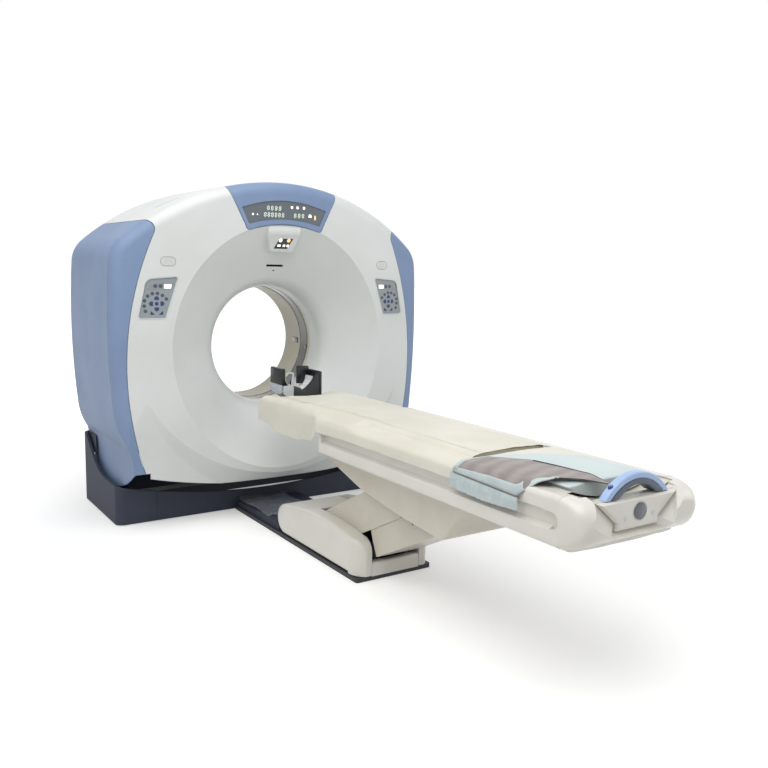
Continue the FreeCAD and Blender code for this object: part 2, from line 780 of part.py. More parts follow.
def rotor():
    """The turning drum with everything that it carries round the patient."""
    disc = tube("drum_disc", -20, 16, 374, "Dims.drum_radius")
    rim = tube("drum_rim", -150, 16, "Dims.drum_radius - 18", "Dims.drum_radius")
    hub = tube("drum_hub", -60, 98, 374, "Dims.hub_radius")
    holes = [cylinder(f"drum_window_{i}", "Y", (560 * math.cos(math.radians(a)), -60,
             f"Dims.iso_height + {560 * math.sin(math.radians(a))}"), 60, 120)
             for i, a in enumerate((40, 140, 222, 318))]
    ballast = box("drum_ballast", (450, -145, "Dims.iso_height - 130"), (210, 127, 260))
    node(cut("drum_cut", fuse("drum", disc, rim, hub, ballast), *holes), "rotor_drum")
    can = cylinder("tube_can", "Y", (0, -168, "Dims.iso_height + 560"), 105, 147)
    port = box("tube_port", (-60, -120, "Dims.iso_height + 445"), (120, 70, 40))
    anode = cylinder("tube_end", "X", (-150, -95, "Dims.iso_height + 560"), 52, 300)
    node(fuse("tube_solid", can, port, anode), "xray_tube")
    jaws = box("jaws", (-90, -130, "Dims.iso_height + 384"), (180, 66, 60))
    slot = box("jaw_slot", (-70, -103, "Dims.iso_height + 370"), (140, 12, 90))
    node(cut("collimator_solid", jaws, slot), "collimator")
    arc = tube("detector_ring", -140, -24, 1010, 1070, "Dims.iso_height + 560")
    sector = pad("detector_sector", "XZ", [(0, 1560), (-560, 380), (560, 380)], -150, 140)
    node(common("detector_solid", arc, sector), "detector_array")
    node(box("tank", (-660, -145, "Dims.iso_height - 130"), (210, 125, 260)), "generator_tank")
    node(tube("slip_ring_disc", 17, 32, 560, 700), "slip_ring")


def rotor_drive():
    """Motor, pulley and flat belt that turn the drum."""
    centre = ("Dims.pulley_x", 0, "Dims.iso_height + Dims.pulley_up")
    body = cylinder("motor_body", "Y", (centre[0], 110, centre[2]), 72, 170)
    flange = box("motor_flange", ("Dims.pulley_x - 66", 109, "Dims.iso_height + Dims.pulley_up - 66"), (132, 12, 132))
    node(fuse("motor_solid", body, flange), "rotor_motor")
    wheel = cylinder("pulley_wheel", "Y", (centre[0], -17, centre[2]), "Dims.pulley_radius", 34)
    spindle = cylinder("pulley_spindle", "Y", (centre[0], 17, centre[2]), 20, 91)
    node(fuse("pulley_solid", wheel, spindle), "rotor_pulley")
    node(belt(), "rotor_belt")


def belt():
    """A flat belt round the drum and the pulley."""
    outer = belt_band("belt_outer", "Dims.belt_thick")
    inner = belt_band("belt_inner", 0)
    return cut("belt_solid", outer, inner)


def belt_band(name, extra):
    """The hull of the drum circle and the pulley circle, a little outside both."""
    x, up = value("Dims.pulley_x"), value("Dims.pulley_up")
    big = value(f"Dims.drum_radius + 0.5 + {extra}")
    small = value(f"Dims.pulley_radius + 0.5 + {extra}")
    away = math.hypot(x, up)
    heading = math.atan2(up, x)
    lean = math.acos((big - small) / away)
    iso = value("Dims.iso_height")

    def on(centre_x, centre_z, radius, angle):
        return centre_x + radius * math.cos(angle), centre_z + radius * math.sin(angle)

    first = on(0, iso, big, heading - lean)
    last = on(0, iso, big, heading + lean)
    opposite = on(0, iso, big, heading + math.pi)
    near = on(x, iso + up, small, heading + lean)
    far = on(x, iso + up, small, heading - lean)
    tip = on(x, iso + up, small, heading)
    path = [(*first,), (*far, *tip), (*near,), (*last, *opposite)]
    return pad(name, "XZ", path, -14, 28)


def tilt_drive():
    """Toothed sector on the right trunnion, its pinion and the worm gear motor."""
    pinion_up = -value("Dims.sector_pitch + Dims.pinion_pitch")
    node(toothed("sector", 0, "Dims.sector_pitch", 878, 16, (218, 322)), "tilt_sector")
    node(toothed("pinion", pinion_up, "Dims.pinion_pitch", 876, 20, None), "tilt_pinion")
    drop = "Dims.iso_height - Dims.sector_pitch - Dims.pinion_pitch"
    gear_box = box("worm_box", (898, -36, f"{drop} - 36"), (50, 72, 72))
    motor = cylinder("worm_motor", "Z", (915, 0, f"{drop} - 170"), 30, 140)
    foot = box("motor_bracket", (868, -36, f"{drop} - 90"), (40, 72, 40))
    bore = cylinder("worm_bore", "X", (890, 0, drop), 8.05, 40)
    solid = fuse("tilt_motor_solid", gear_box, motor, foot)
    node(cut("tilt_motor_cut", solid, bore), "tilt_gearmotor")


def tooth_points(low, iso, radius, turn, steps, start):
    """Corners of straight-sided teeth round a pitch circle."""
    high = value("Dims.tooth_height") / 2
    points = []
    for step in steps:
        for share, reach in ((-0.30, -high), (-0.13, high), (0.13, high), (0.30, -high)):
            angle = start + (step + share) * turn
            y = (radius + reach) * math.cos(angle)
            z = iso + (radius + reach) * math.sin(angle)
            points.append(FreeCAD.Vector(low, y, z))
    return points


def toothed(name, up, pitch, low, wide, arc):
    """A spur wheel across X, whole or as a sector between two angles in degrees."""
    radius = value(pitch)
    iso = value("Dims.iso_height") + up
    teeth = round(radius / 2)
    turn = 2 * math.pi / teeth
    axis = FreeCAD.Vector(1, 0, 0)
    if arc:
        steps = range(round(math.radians(arc[0]) / turn), round(math.radians(arc[1]) / turn))
        points = tooth_points(low, iso, radius, turn, steps, 0)
        points += [FreeCAD.Vector(low, 60, iso + 10), FreeCAD.Vector(low, -60, iso + 10)]
    else:
        points = tooth_points(low, iso, radius, turn, range(teeth), math.pi / 2 + turn / 2)
    wheel = Part.Face(Part.makePolygon(points + points[:1])).extrude(axis * wide)
    if arc:
        trunnion = value("Dims.trunnion_radius")
        boss = Part.makeCylinder(trunnion + 22, wide, FreeCAD.Vector(low, 0, iso), axis)
        hole = Part.makeCylinder(trunnion, wide, FreeCAD.Vector(low, 0, iso), axis)
        wheel = wheel.fuse(boss).cut(hole)
    else:
        wheel = wheel.fuse(Part.makeCylinder(8, 30, FreeCAD.Vector(low + wide, 0, iso), axis))
    made = doc.addObject("Part::Feature", name)
    made.Shape = wheel.removeSplitter()
    return made


# ---------------------------------------------------------------- table base and leg


def table_base():
    """Floor plate, bridge to the gantry, side covers and the end cover."""
    plate = box("plate", ("-Dims.plate_half", "-Dims.plate_foot", 0),
                ("2 * Dims.plate_half", "Dims.plate_foot - Dims.base_front - 4", "Dims.plate_thick"))
    soft = rounded("plate_soft", plate, 14, lambda p, e: p.y < -1600 and abs(e.Vertexes[0].Z - e.Vertexes[-1].Z) > 5)
    holes = [cylinder(f"plate_hole_{i}", "Z", (x, y, -5), 9, 60)
             for i, (x, y) in enumerate([(-190, -900), (190, -900), (-190, -1640), (190, -1640)])]
    node(cut("plate_drilled", soft, *holes), "floor_plate")
    path = [(-846, 22), (-846, 40), (-800, 66), (-560, 66), (-552, 56), (-300, 56), (-281, 40), (-281, 22)]
    step = pad("bridge_side", "YZ", path, -205, 410)
    node(rounded("bridge_soft", step, 5, lambda p, e: abs(p.x) > 204 and p.z > 41), "bridge_cover")
    right = node(side_cover(), "table_right_cover")
    nose = [(-920, 26, -838, 108), (-920, 190), (-1150, 213), (-1150, 205), (-921, 182, -846, 108), (-921, 34)]
    front = pad("front_shell", "YZ", nose, "-Dims.cover_in - 1", "2 * Dims.cover_in - 1")
    node(fuse("side_cover_front", mirror("side_cover_left", right), front), "table_left_cover")
    end = pad("end_block", "YZ", [(-1690, 22), (-1690, 76, -1686, 87), (-1672, 90), (-1655, 90), (-1655, 22)],
              "-Dims.cover_in + 2", "2 * Dims.cover_in - 4")
    node(end, "table_end_cover")


def side_cover():
    """The right one of the two moulded covers beside the leg."""
    side = [(-920, 26, -838, 108), (-920, 190, -1268, 230), (-1618, 204, -1672, 182), (-1690, 130), (-1690, 26)]
    plan = [
        (130, -800),
        (130, -1700),
        (142, -1700, 194, -1669),
        ("Dims.cover_out", -1600),
        ("Dims.cover_out", -800),
    ]
    block = pad("side_block", "YZ", side, "Dims.cover_in", "Dims.cover_out - Dims.cover_in + 20")
    sharp = common("side_sharp", block, pad("side_plan", "XY", plan, 0, 300))
    soft = rounded("side_soft", sharp, 18, lambda p, e: p.x > 160 and p.z > 30)
    hollow = box("side_hollow", ("Dims.cover_in - 5", -1600, 10), ("Dims.cover_out - Dims.cover_in - 7", 690, 160))
    return cut("side_cover", soft, hollow)


def pin(name, y, z, half):
    """A pivot pin across the middle plane."""
    return cylinder(name, "X", (-half, y, z), "Dims.pin_radius", 2 * half)


def eye(name, y, extra):
    """The hole that a pivot pin runs in, through a level arm."""
    return cylinder(name, "X", (-400, y, 0), f"Dims.pin_radius + {extra}", 800)


def far_y(start):
    """Height axis position of an arm's far end."""
    return f"Dims.{start}_pivot_y - Dims.arm_length * cos(Dims.leg_angle * 1 deg)"


def far_z(start):
    """Height of an arm's far end."""
    return f"Dims.{start}_pivot_z + Dims.arm_length * sin(Dims.leg_angle * 1 deg)"


def pivot_brackets():
    """Two plates on the floor plate with the pins of both arm pairs and of the lift cylinder."""
    path = [
        (-1649, 22),
        (-1640, 110, -1600, 160),
        (-1560, 120),
        (-1390, 140, -1330, 200),
        (-1270, 140),
        (-1240, 60),
        (-1180, 22),
    ]
    plates = [pad(f"bracket_{i}", "YZ", path, low, 9) for i, low in enumerate((-93, 84))]
    pins = [
        pin("pin_upper", "Dims.upper_pivot_y", "Dims.upper_pivot_z", 118),
        pin("pin_lower", "Dims.lower_pivot_y", "Dims.lower_pivot_z", 93),
        pin("pin_cylinder", "Dims.lift_foot_y", "Dims.lift_foot_z", 93),
    ]
    node(fuse("brackets_solid", *plates, *pins), "pivot_brackets")


def link(name, low, end_gap):
    """A pair of arms with a cross tube, drawn level with its first pivot at the origin."""
    wide = "Dims.arm_thick"
    reach = value("Dims.arm_length")
    path = [
        (0, 34, 34, 0),
        (0, -34),
        ("-Dims.arm_length", -34, -reach - 34, 0),
        ("-Dims.arm_length", 34),
    ]
    arms = [
        pad(f"{name}_right", "YZ", path, low, wide),
        pad(f"{name}_left", "YZ", path, f"-{low} - {wide}", wide),
    ]
    bar = cylinder(f"{name}_bar", "X", (-low - 2, "-Dims.arm_length * 0.5", 0), 22, 2 * low + 4)
    near, far = eye(f"{name}_eye_near", 0, "Dims.running_gap"), eye(f"{name}_eye_far", "-Dims.arm_length", end_gap)
    return arms + [bar], [near, far]


def lean(made, start):
    """Set a level piece at its pivot, at the leg's angle."""
    angle = value("Dims.leg_angle")
    made.Placement = FreeCAD.Placement(FreeCAD.Vector(), FreeCAD.Rotation(FreeCAD.Vector(1, 0, 0), -angle))
    return place(made, (0, f"Dims.{start}_pivot_y", f"Dims.{start}_pivot_z"))


def lift_lug(name, low):
    """One plate of the upper arms' fork that holds the lift rod's pin."""
    along, above = value("Dims.lift_along"), value("Dims.lift_above")
    path = [
        (-along + 60, -20),
        (-along + 22, above, -along, above + 22),
        (-along - 22, above),
        (-along - 60, -20),
    ]
    return pad(name, "YZ", path, low, 8)


def leg():
    """Upper and lower arm pairs with the covers that slide past each other."""
    arms, eyes = link("upper_arm", 96, "Dims.running_gap")
    rod_pin = cylinder("rod_pin", "X", (-100, "-Dims.lift_along", "Dims.lift_above"), "Dims.rod_pin_radius", 200)
    lugs = [lift_lug("lift_lug_right", 90), lift_lug("lift_lug_left", -98)]
    upper = cut("upper_arms_cut", fuse("upper_arms_joined", *arms, *lugs, rod_pin), *eyes)
    node(lean(upper, "upper"), "upper_arms")
    arms, eyes = link("lower_arm", 60, "Dims.open_gap")
    lower = cut("lower_arms_cut", fuse("lower_arms_joined", *arms), *eyes)
    node(lean(lower, "lower"), "lower_arms")
    half, wall = "Dims.leg_half", "Dims.leg_wall"
    side = [(100, 20), (100, 112), (-620, 112), (-620, -68), (40, -68)]
    outer = pad("leg_outer", "YZ", side, f"-{half}", f"2 * {half}")
    hollow = box("leg_hollow", (f"-{half} + {wall}", -700, -200), (f"2 * {half} - 2 * {wall}", 900, 308))
    node(lean(cut("leg_upper_shell", outer, hollow), "upper"), "upper_leg_cover")
    low_side = [(-104, 20), (-104, -48), (-640, -48), (-640, 30), (-460, 30), (-440, 168), (-120, 168)]
    low_outer = pad("low_outer", "YZ", low_side, f"-{half} + 7", f"2 * {half} - 14")
    low_hollow = box("low_hollow", (f"-{half} + 11", -700, -44), (f"2 * {half} - 22", 900, 400))
    node(lean(cut("leg_lower_shell", low_outer, low_hollow), "lower"), "lower_leg_cover")


def lift_head():
    """Where the lift rod meets the pin of the upper arms at rest."""
    angle = math.radians(value("Dims.leg_angle"))
    along, above = value("Dims.lift_along"), value("Dims.lift_above")
    y = value("Dims.upper_pivot_y") - along * math.cos(angle) + above * math.sin(angle)
    z = value("Dims.upper_pivot_z") + along * math.sin(angle) + above * math.cos(angle)
    return y, z


def lift():
    """The hydraulic cylinder and its rod, whose eye holds the pin with play all round."""
    foot = FreeCAD.Vector(0, value("Dims.lift_foot_y"), value("Dims.lift_foot_z"))
    head = FreeCAD.Vector(0, *lift_head())
    along = (head - foot).normalize()
    across = FreeCAD.Vector(1, 0, 0)
    pin_hole = value("Dims.pin_radius + Dims.running_gap")
    rod = value("Dims.rod_radius")
    barrel = Part.makeCylinder(rod + 9, 207, foot + along * 20, along)
    lug = Part.makeCylinder(25, 40, foot - across * 20, across)
    bore = Part.makeCylinder(rod + value("Dims.running_gap"), 200, foot + along * 34, along)
    foot_hole = Part.makeCylinder(pin_hole, 60, foot - across * 30, across)
    made = doc.addObject("Part::Feature", "cylinder_barrel")
    made.Shape = barrel.fuse(lug).cut(bore).cut(foot_hole).removeSplitter()
    node(made, "lift_cylinder")
    rod_start = 92
    shaft = Part.makeCylinder(rod, (head - foot).Length - rod_start, foot + along * rod_start, along)
    eye_radius = value("Dims.rod_pin_radius + Dims.rod_play")
    ring = Part.makeCylinder(eye_radius + 8, 30, head - across * 15, across)
    hole = Part.makeCylinder(eye_radius, 60, head - across * 30, across)
    rod_made = doc.addObject("Part::Feature", "cylinder_rod")
    rod_made.Shape = shaft.fuse(ring).cut(hole).removeSplitter()
    node(rod_made, "lift_rod")


# ---------------------------------------------------------------- table top


def table_frame():
    """Two long beams, cross beams and the hanging plates with the upper pins."""
    beams = [box(f"beam_{i}", (x, -2740, 573), (36, 1300, 44)) for i, x in enumerate((-190, 154))]
    crosses = [box(f"cross_{i}", (-190, y, 573), (380, 40, 40)) for i, y in enumerate((-1480, -2420, -2738))]
    path = [(-2330, 590), (-2310, 440, -2268, 418), (-2230, 430), (-2040, 450, -1998, 448), (-1955, 480), (-1930, 590)]
    plates = [pad(f"hanger_{i}", "YZ", path, x, 12) for i, x in enumerate((-154, 142))]
    pins = [pin("pin_top_upper", far_y("upper"), far_z("upper"), 154),
            pin("pin_top_lower", far_y("lower"), far_z("lower"), 154)]
    node(fuse("table_frame_solid", *beams, *crosses, *plates, *pins), "table_frame")


def table_hull():
    """The fairing under the top, open below for the leg, with a sloping foot end."""
    path = [
        (-1391, 590),
        (-1391, 524),
        (-1673, 446),
        (-2003, 402),
        (-2300, 380),
        (-2440, 566),
        (-2752, 566),
        (-2752, 590),
    ]
    inner = [
        (-1396, 600),
        (-1396, 300),
        (-2262, 300),
        (-2286, 388),
        (-2428, 571),
        (-2747, 571),
        (-2747, 600),
    ]
    outer = pad("hull_outer", "YZ", path, "-Dims.hull_half", "2 * Dims.hull_half")
    bent = rounded("hull_bent", outer, 60, lambda p, e: along_x(p, e) and p.z < 385)
    soft = rounded("hull_soft", bent, 18, lambda p, e: not along_x(p, e) and p.z < 560 and p.y < -1395)
    hollow = pad("hull_inner", "YZ", inner, "-Dims.hull_half + 5", "2 * Dims.hull_half - 10")
    node(cut("hull_shell", soft, hollow), "table_hull")


def table_body():
    """The long moulded top with side channels and the trough that the cradle slides in."""
    half, top, low = "Dims.body_half", "Dims.body_top", "Dims.body_low"
    right = [
        ("Dims.trough_half", top),
        (f"{half} - 20", top, f"{half} - 6", f"{top} - 6"),
        (half, f"{top} - 20"),
        (half, 708, f"{half} - 2", 704),
        (f"{half} - 8", 702),
        (f"{half} - 22", 694),
        (f"{half} - 22", 654),
        (f"{half} - 8", 644, f"{half} - 2", 642),
        (half, 638),
        (half, 604, f"{half} - 6", 590),
        (f"{half} - 22", low),
        (f"{half} - 46", low),
        (f"{half} - 56", 566),
        ("Dims.slot_half + 18", 566),
        ("Dims.slot_half + 18", "Dims.trough_floor - 7"),
        (0, "Dims.trough_floor - 7"),
    ]
    inner = [
        (0, "Dims.trough_floor"),
        ("Dims.slot_half", "Dims.trough_floor"),
        ("Dims.slot_half", 706),
        ("Dims.trough_half", 712),
    ]
    block = pad("body_right", "XZ", right + inner, "-Dims.body_foot", "Dims.body_foot - Dims.body_head")
    whole = fuse("body_section", block, mirror("body_left", block))
    plan = [
        ("-Dims.body_half", "-Dims.body_head - 80", -272, "-Dims.body_head - 22"),
        (-216, "-Dims.body_head"),
        (216, "-Dims.body_head", 272, "-Dims.body_head - 22"),
        ("Dims.body_half", "-Dims.body_head - 80"),
        ("Dims.body_half", "-Dims.body_foot"),
        ("-Dims.body_half", "-Dims.body_foot"),
    ]
    outline = pad("body_plan", "XY", plan, 500, 400)
    shaped = common("body_shaped", whole, outline)
    plugs = [
        box(f"channel_head_{tag}", (x, "-Dims.body_head - 74", 640), (31, 80, 68))
        for tag, x in (("left", -291), ("right", 260))
    ]
    closed = common("channel_plugs", fuse("plug_blocks", *plugs), outline)
    node(fuse("body_filled", shaped, closed, foot_cap()), "table_body")


def foot_cap():
    """The rounded foot end of the body, with a seat for the cradle's bracket."""
    right = [(270, 762, 284, 756), (290, 742), (290, 604, 284, 590), (268, 585), (244, 585), (234, 566)]
    front = pad("cap_front_view", "XZ", both_sides(right), -3150, 200)
    plan = [
        (290, -2950),
        (-290, -2950),
        (-290, -3010, -267, -3100),
        (-192, -3138),
        (192, -3138, 267, -3100),
        (290, -3010),
    ]
    side = [
        (-2950, 566),
        (-3020, 566),
        (-3096, 642, -3138, 694),
        (-3106, 748, -3094, 759),
        (-3074, 762),
        (-2950, 762),
    ]
    above, beside = pad("cap_plan", "XY", plan, 500, 400), pad("cap_side_view", "YZ", side, -300, 600)
    block = common("cap_block", front, above, beside)
    seat = [(208, 800), (208, 747), (107, 664), (107, 630)]
    trough = [(236, 800), (236, 712), (180, 706), (180, "Dims.trough_floor")]
    tools = [
        pad("cap_seat", "XZ", both_sides(seat), -3200, 150),
        pad("cap_trough", "XZ", both_sides(trough), -3056, 120),
    ]
    for tag, x in (("left", -300), ("right", 268)):
        tools.append(box(f"channel_end_{tag}", (x, -2989, 642), (32, 60, 62)))
        tools.append(cylinder(f"channel_round_{tag}", "X", (x, -2989, 673), 31, 32))
    return cut("foot_cap", block, *tools)


def cradle():
    """The curved carbon shell that carries the patient, with its end bracket and handle."""
    half, edge = "Dims.cradle_half", "Dims.cradle_edge"
    section = [
        (f"-{half}", edge, 0, "Dims.cradle_under"),
        (half, edge),
        (f"{half} - 8", edge, 0, "Dims.cradle_under + 24"),
        (f"-{half} + 8", edge),
    ]
    shell = pad("cradle_section", "XZ", section, "-Dims.cradle_foot", "Dims.cradle_foot - Dims.cradle_head")
    plan = [(-231, -3060), (231, -3060), (231, -790, 215, -722), (150, "-Dims.cradle_head"),
            (-150, "-Dims.cradle_head", -215, -722), (-231, -790)]
    outline = pad("cradle_plan", "XY", plan, 600, 300)
    node(common("cradle_shell", shell, outline), "cradle")
    face = pad("bracket_plate", "XZ", both_sides([(198, 744), (104, 665), (104, 636)]), "-Dims.bracket_face", 18)
    shelf = pad("bracket_shelf", "XZ", both_sides([(172, 742), (172, 720), (110, 700)]),
                "-Dims.bracket_face + 10", 26)
    node(fuse("bracket_solid", face, shelf), "cradle_bracket")
    arch = [(-158, 745, 0, 826), (158, 745), (128, 745, 0, 802), (-128, 745)]
    grip = pad("handle_arch", "XZ", arch, -3098, 34)
    seat = cylinder("button_seat", "Z", (-118, -3081, 700), 9.1, 200)
    node(cut("handle_cut", rounded("handle_soft", grip, 7, lambda p, e: p.z > 760 and e.Length > 60), seat), "cradle_handle")
    node(cylinder("button", "Z", (-118, -3081, 775), 9, 14), "handle_button")
    axle = cylinder("roller_axle", "X", (-150, -1440, 668), 8, 300)
    wheel = cylinder("roller_wheel", "X", (-40, -1440, 668), 20, 80)
    node(fuse("roller_solid", axle, wheel), "cradle_roller")


def soft_goods():
    """Mattress, foot pad, vinyl cover, quilted strap and the head holder with its pad."""
    bed = cushion("mattress_bed", "Dims.mattress_half", "-Dims.pad_head + 6", "Dims.pad_head - 6 - 716", "Dims.mattress_top")
    node(bed, "mattress")
    rest = cushion("foot_bed", "Dims.mattress_half", "-Dims.pad_foot", "Dims.pad_foot - Dims.pad_head", "Dims.mattress_top - 6")
    node(rest, "foot_pad")
    node(vinyl_cover(), "mattress_cover")
    node(strap(), "quilted_strap")
    head_holder()


def cushion(name, half, start, length, top):
    """A pad with a crowned top, seated in the cradle's hollow."""
    section = [
        (f"-{half} + 12", 760, f"-{value(half)} + 1", 768),
        (f"-{half} + 6", f"{top} - 10", 0, f"{top}"),
        (f"{half} - 6", f"{top} - 10", f"{value(half)} - 1", 768),
        (f"{half} - 12", 760, 0, 716),
    ]
    return pad(name, "XZ", section, start, length)


def vinyl_cover():
    """The loose vinyl cover over the mattress, which hangs over the left rail."""
    along = "Dims.pad_head + 10 - 712"
    over = [(-214, 757), (-210, 760), (-206, "Dims.mattress_top - 8", 0, "Dims.mattress_top + 2"),
            (206, "Dims.mattress_top - 8"), (210, 760), (214, 757), (214, 776),
            (208, "Dims.mattress_top - 4", 0, "Dims.mattress_top + 6"), (-208, "Dims.mattress_top - 4"), (-214, 776)]
    sheet_part = pad("vinyl_over", "XZ", over, "-Dims.pad_head - 10 + 20", along)
    flap = [
        (-212, 764),
        (-270, 764, -286, 757.5),
        (-292, 742),
        (-292, 697),
        (-295.5, 697),
        (-295.5, 743, -288.5, 760),
        (-270, 768),
        (-212, 768),
    ]
    hanging = pad("vinyl_flap", "XZ", flap, -2460, 960)
    return fuse("vinyl", sheet_part, hanging)


def strap():
    """The quilted strap near the foot that hangs over the left rail."""
    path = [
        (-165, 782),
        (-206, 779),
        (-230, 770),
        (-284, 766, -296, 761),
        (-298, 750),
        (-298, 668),
        (-303, 668),
        (-303, 752, -301, 768),
        (-286, 773),
        (-232, 777),
        (-206, 786),
        (-165, 789),
    ]
    return pad("strap_band", "XZ", path, -2865, 385)


def head_holder():
    """The padded cup for the head between two wings, on a tray clipped to the cradle's tip."""
    centre = 850
    section = [(-116, 772, 0, 706), (116, 772), (108, 776, 0, 714), (-108, 776)]
    tray = pad("holder_tray", "XZ", section, -690, 123)
    tongue = box("holder_tongue", (-38, -714, 718), (76, 50, 6))
    foot = box("cup_foot", (-40, -680, 712), (80, 90, 34))
    ring = turned("holder_ring", "YZ", [(-688, 97), (-688, 112), (-576, 112), (-576, 97)], centre)
    cup = cut("cup_half", ring, box("cup_opening", (-200, -800, 872), (400, 300, 200)))
    wing = box("wing_block", (100, -735, 808), (24, 168, 96))
    right = rounded("wing_right", wing, 9, lambda p, e: p.z > 900 or abs(p.z - 856) < 1)
    node(fuse("holder", tray, tongue, foot, cup, right, mirror("wing_left", right)), "head_holder")
    pad_ring = turned("pad_cup", "YZ", [(-682, 79), (-682, 96), (-582, 96), (-582, 79)], centre)
    node(cut("head_pad_cut", pad_ring, box("pad_opening", (-200, -800, 856), (400, 300, 200))), "head_pad")


def check():
    """Stop on any failed object or empty shape."""
    doc.recompute()
    for made in doc.Objects:
        if "Invalid" in made.State or "Error" in made.State:
            raise RuntimeError(f"{made.Name} failed: {made.State}")
    for made in nodes:
        if made.Shape.isNull() or not made.Shape.isValid() or made.Shape.Volume < 1:
            raise RuntimeError(f"{made.Label} has no valid shape")
    labels = [made.Label for made in nodes]
    if len(set(labels)) != len(labels):
        raise RuntimeError("two sub-parts share a name")


def export():
    """Write each sub-part's shape."""
    os.makedirs("parts", exist_ok=True)
    for made in nodes:
        made.Shape.exportStep(f"parts/{made.Label}.step")
        solids = len(made.Shape.Solids)
        print(f"{made.Label}: {solids} solid(s), {made.Shape.Volume / 1e6:.3f} litres")


gantry_covers()
tunnel_rings()
base_frame()
base_covers()
gantry_frame()
rotor()
rotor_drive()
tilt_drive()
table_base()
pivot_brackets()
leg()
lift()
table_frame()
table_hull()
table_body()
cradle()
soft_goods()
check()
export()
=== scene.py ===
"""Looks of the CT scanner: finishes, displays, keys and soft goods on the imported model."""

import enum
import logging
import math
from collections.abc import Callable, Sequence
from dataclasses import dataclass

import bmesh
import bpy
from mathutils import Matrix, Vector, noise


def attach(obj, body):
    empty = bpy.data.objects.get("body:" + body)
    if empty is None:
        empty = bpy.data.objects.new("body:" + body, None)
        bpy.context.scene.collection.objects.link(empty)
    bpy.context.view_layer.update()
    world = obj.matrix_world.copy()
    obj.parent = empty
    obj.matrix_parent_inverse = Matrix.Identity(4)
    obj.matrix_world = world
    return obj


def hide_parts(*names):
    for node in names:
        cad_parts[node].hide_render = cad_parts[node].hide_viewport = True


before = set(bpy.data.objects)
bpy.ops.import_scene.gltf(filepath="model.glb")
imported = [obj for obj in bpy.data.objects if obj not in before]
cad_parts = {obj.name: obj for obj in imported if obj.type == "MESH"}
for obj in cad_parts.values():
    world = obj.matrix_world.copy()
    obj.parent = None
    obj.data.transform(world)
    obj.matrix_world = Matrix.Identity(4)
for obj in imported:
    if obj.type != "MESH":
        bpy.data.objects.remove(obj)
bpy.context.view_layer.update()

logging.basicConfig(level=logging.INFO, format="%(message)s")
LOG = logging.getLogger("ct_scanner")

MM = 0.001
BOW_RADIUS = 8280
FRONT = -512
PANEL_INSET = 6
BORE_HEIGHT = 1000
RING_STEPS = 96
PHOTO_WIDTH = 768

Outline = list[tuple[float, float]]


# ---------------------------------------------------------------- finishes


class Surface(enum.Enum):
    """How a surface was made, which sets its pattern."""

    MOULDED = "moulded"
    PAINTED = "painted"
    CAST = "cast"
    BRUSHED = "brushed"
    VINYL = "vinyl"
    WOVEN = "woven"
    STRIPED = "striped"
    GLOSSY = "glossy"
    LIT = "lit"
    FILM = "film"


def linear(code: str) -> tuple[float, float, float, float]:
    """Turn an sRGB hex value into linear colour.

    Args:
        code: six hex digits after a hash sign.

    Returns:
        Red, green, blue and alpha, linear.
    """
    parts = [int(code[i:i + 2], 16) / 255 for i in (1, 3, 5)]
    return tuple(c / 12.92 if c <= 0.04045 else ((c + 0.055) / 1.055) ** 2.4 for c in parts) + (1.0,)


def add_node(tree: bpy.types.NodeTree, kind: str, settings: dict, links: dict) -> bpy.types.Node:
    """Add one shader node.

    Args:
        tree: the material's node tree.
        kind: the node's type name after ShaderNode.
        settings: properties by name, and input values by socket name or number.
        links: input sockets by name or number, with the output that feeds each.

    Returns:
        The new node.
    """
    made = tree.nodes.new("ShaderNode" + kind)
    for key, amount in settings.items():
        if isinstance(key, str) and hasattr(made, key):
            setattr(made, key, amount)
        else:
            made.inputs[key].default_value = amount
    for key, output in links.items():
        tree.links.new(output, made.inputs[key])
    return made


@dataclass(frozen=True)
class Fade:
    """A second colour that takes over across a slanted line."""

    colour: str
    start: tuple[float, float]
    heading: tuple[float, float]
    soft_mm: float

    def apply(self, tree: bpy.types.NodeTree, place: bpy.types.NodeSocket,
              colour: bpy.types.NodeSocket) -> bpy.types.NodeSocket:
        """Mix the second colour in.

        Args:
            tree: the material's node tree.
            place: the place on the object, in metres.
            colour: the first colour.

        Returns:
            The mixed colour.
        """
        start = Vector((*self.start, 0)) * MM
        heading = Vector((*self.heading, 0)).normalized()
        reach = add_node(tree, "VectorMath", {"operation": "DOT_PRODUCT", 1: heading},
                         {0: place}).outputs["Value"]
        level = heading.dot(start)
        soft = self.soft_mm * MM
        limits = {"From Min": level - soft, "From Max": level + soft, "interpolation_type": "SMOOTHSTEP"}
        share = add_node(tree, "MapRange", limits, {"Value": reach}).outputs["Result"]
        return add_node(tree, "Mix", {"data_type": "RGBA", 7: linear(self.colour)},
                        {0: share, 6: colour}).outputs[2]


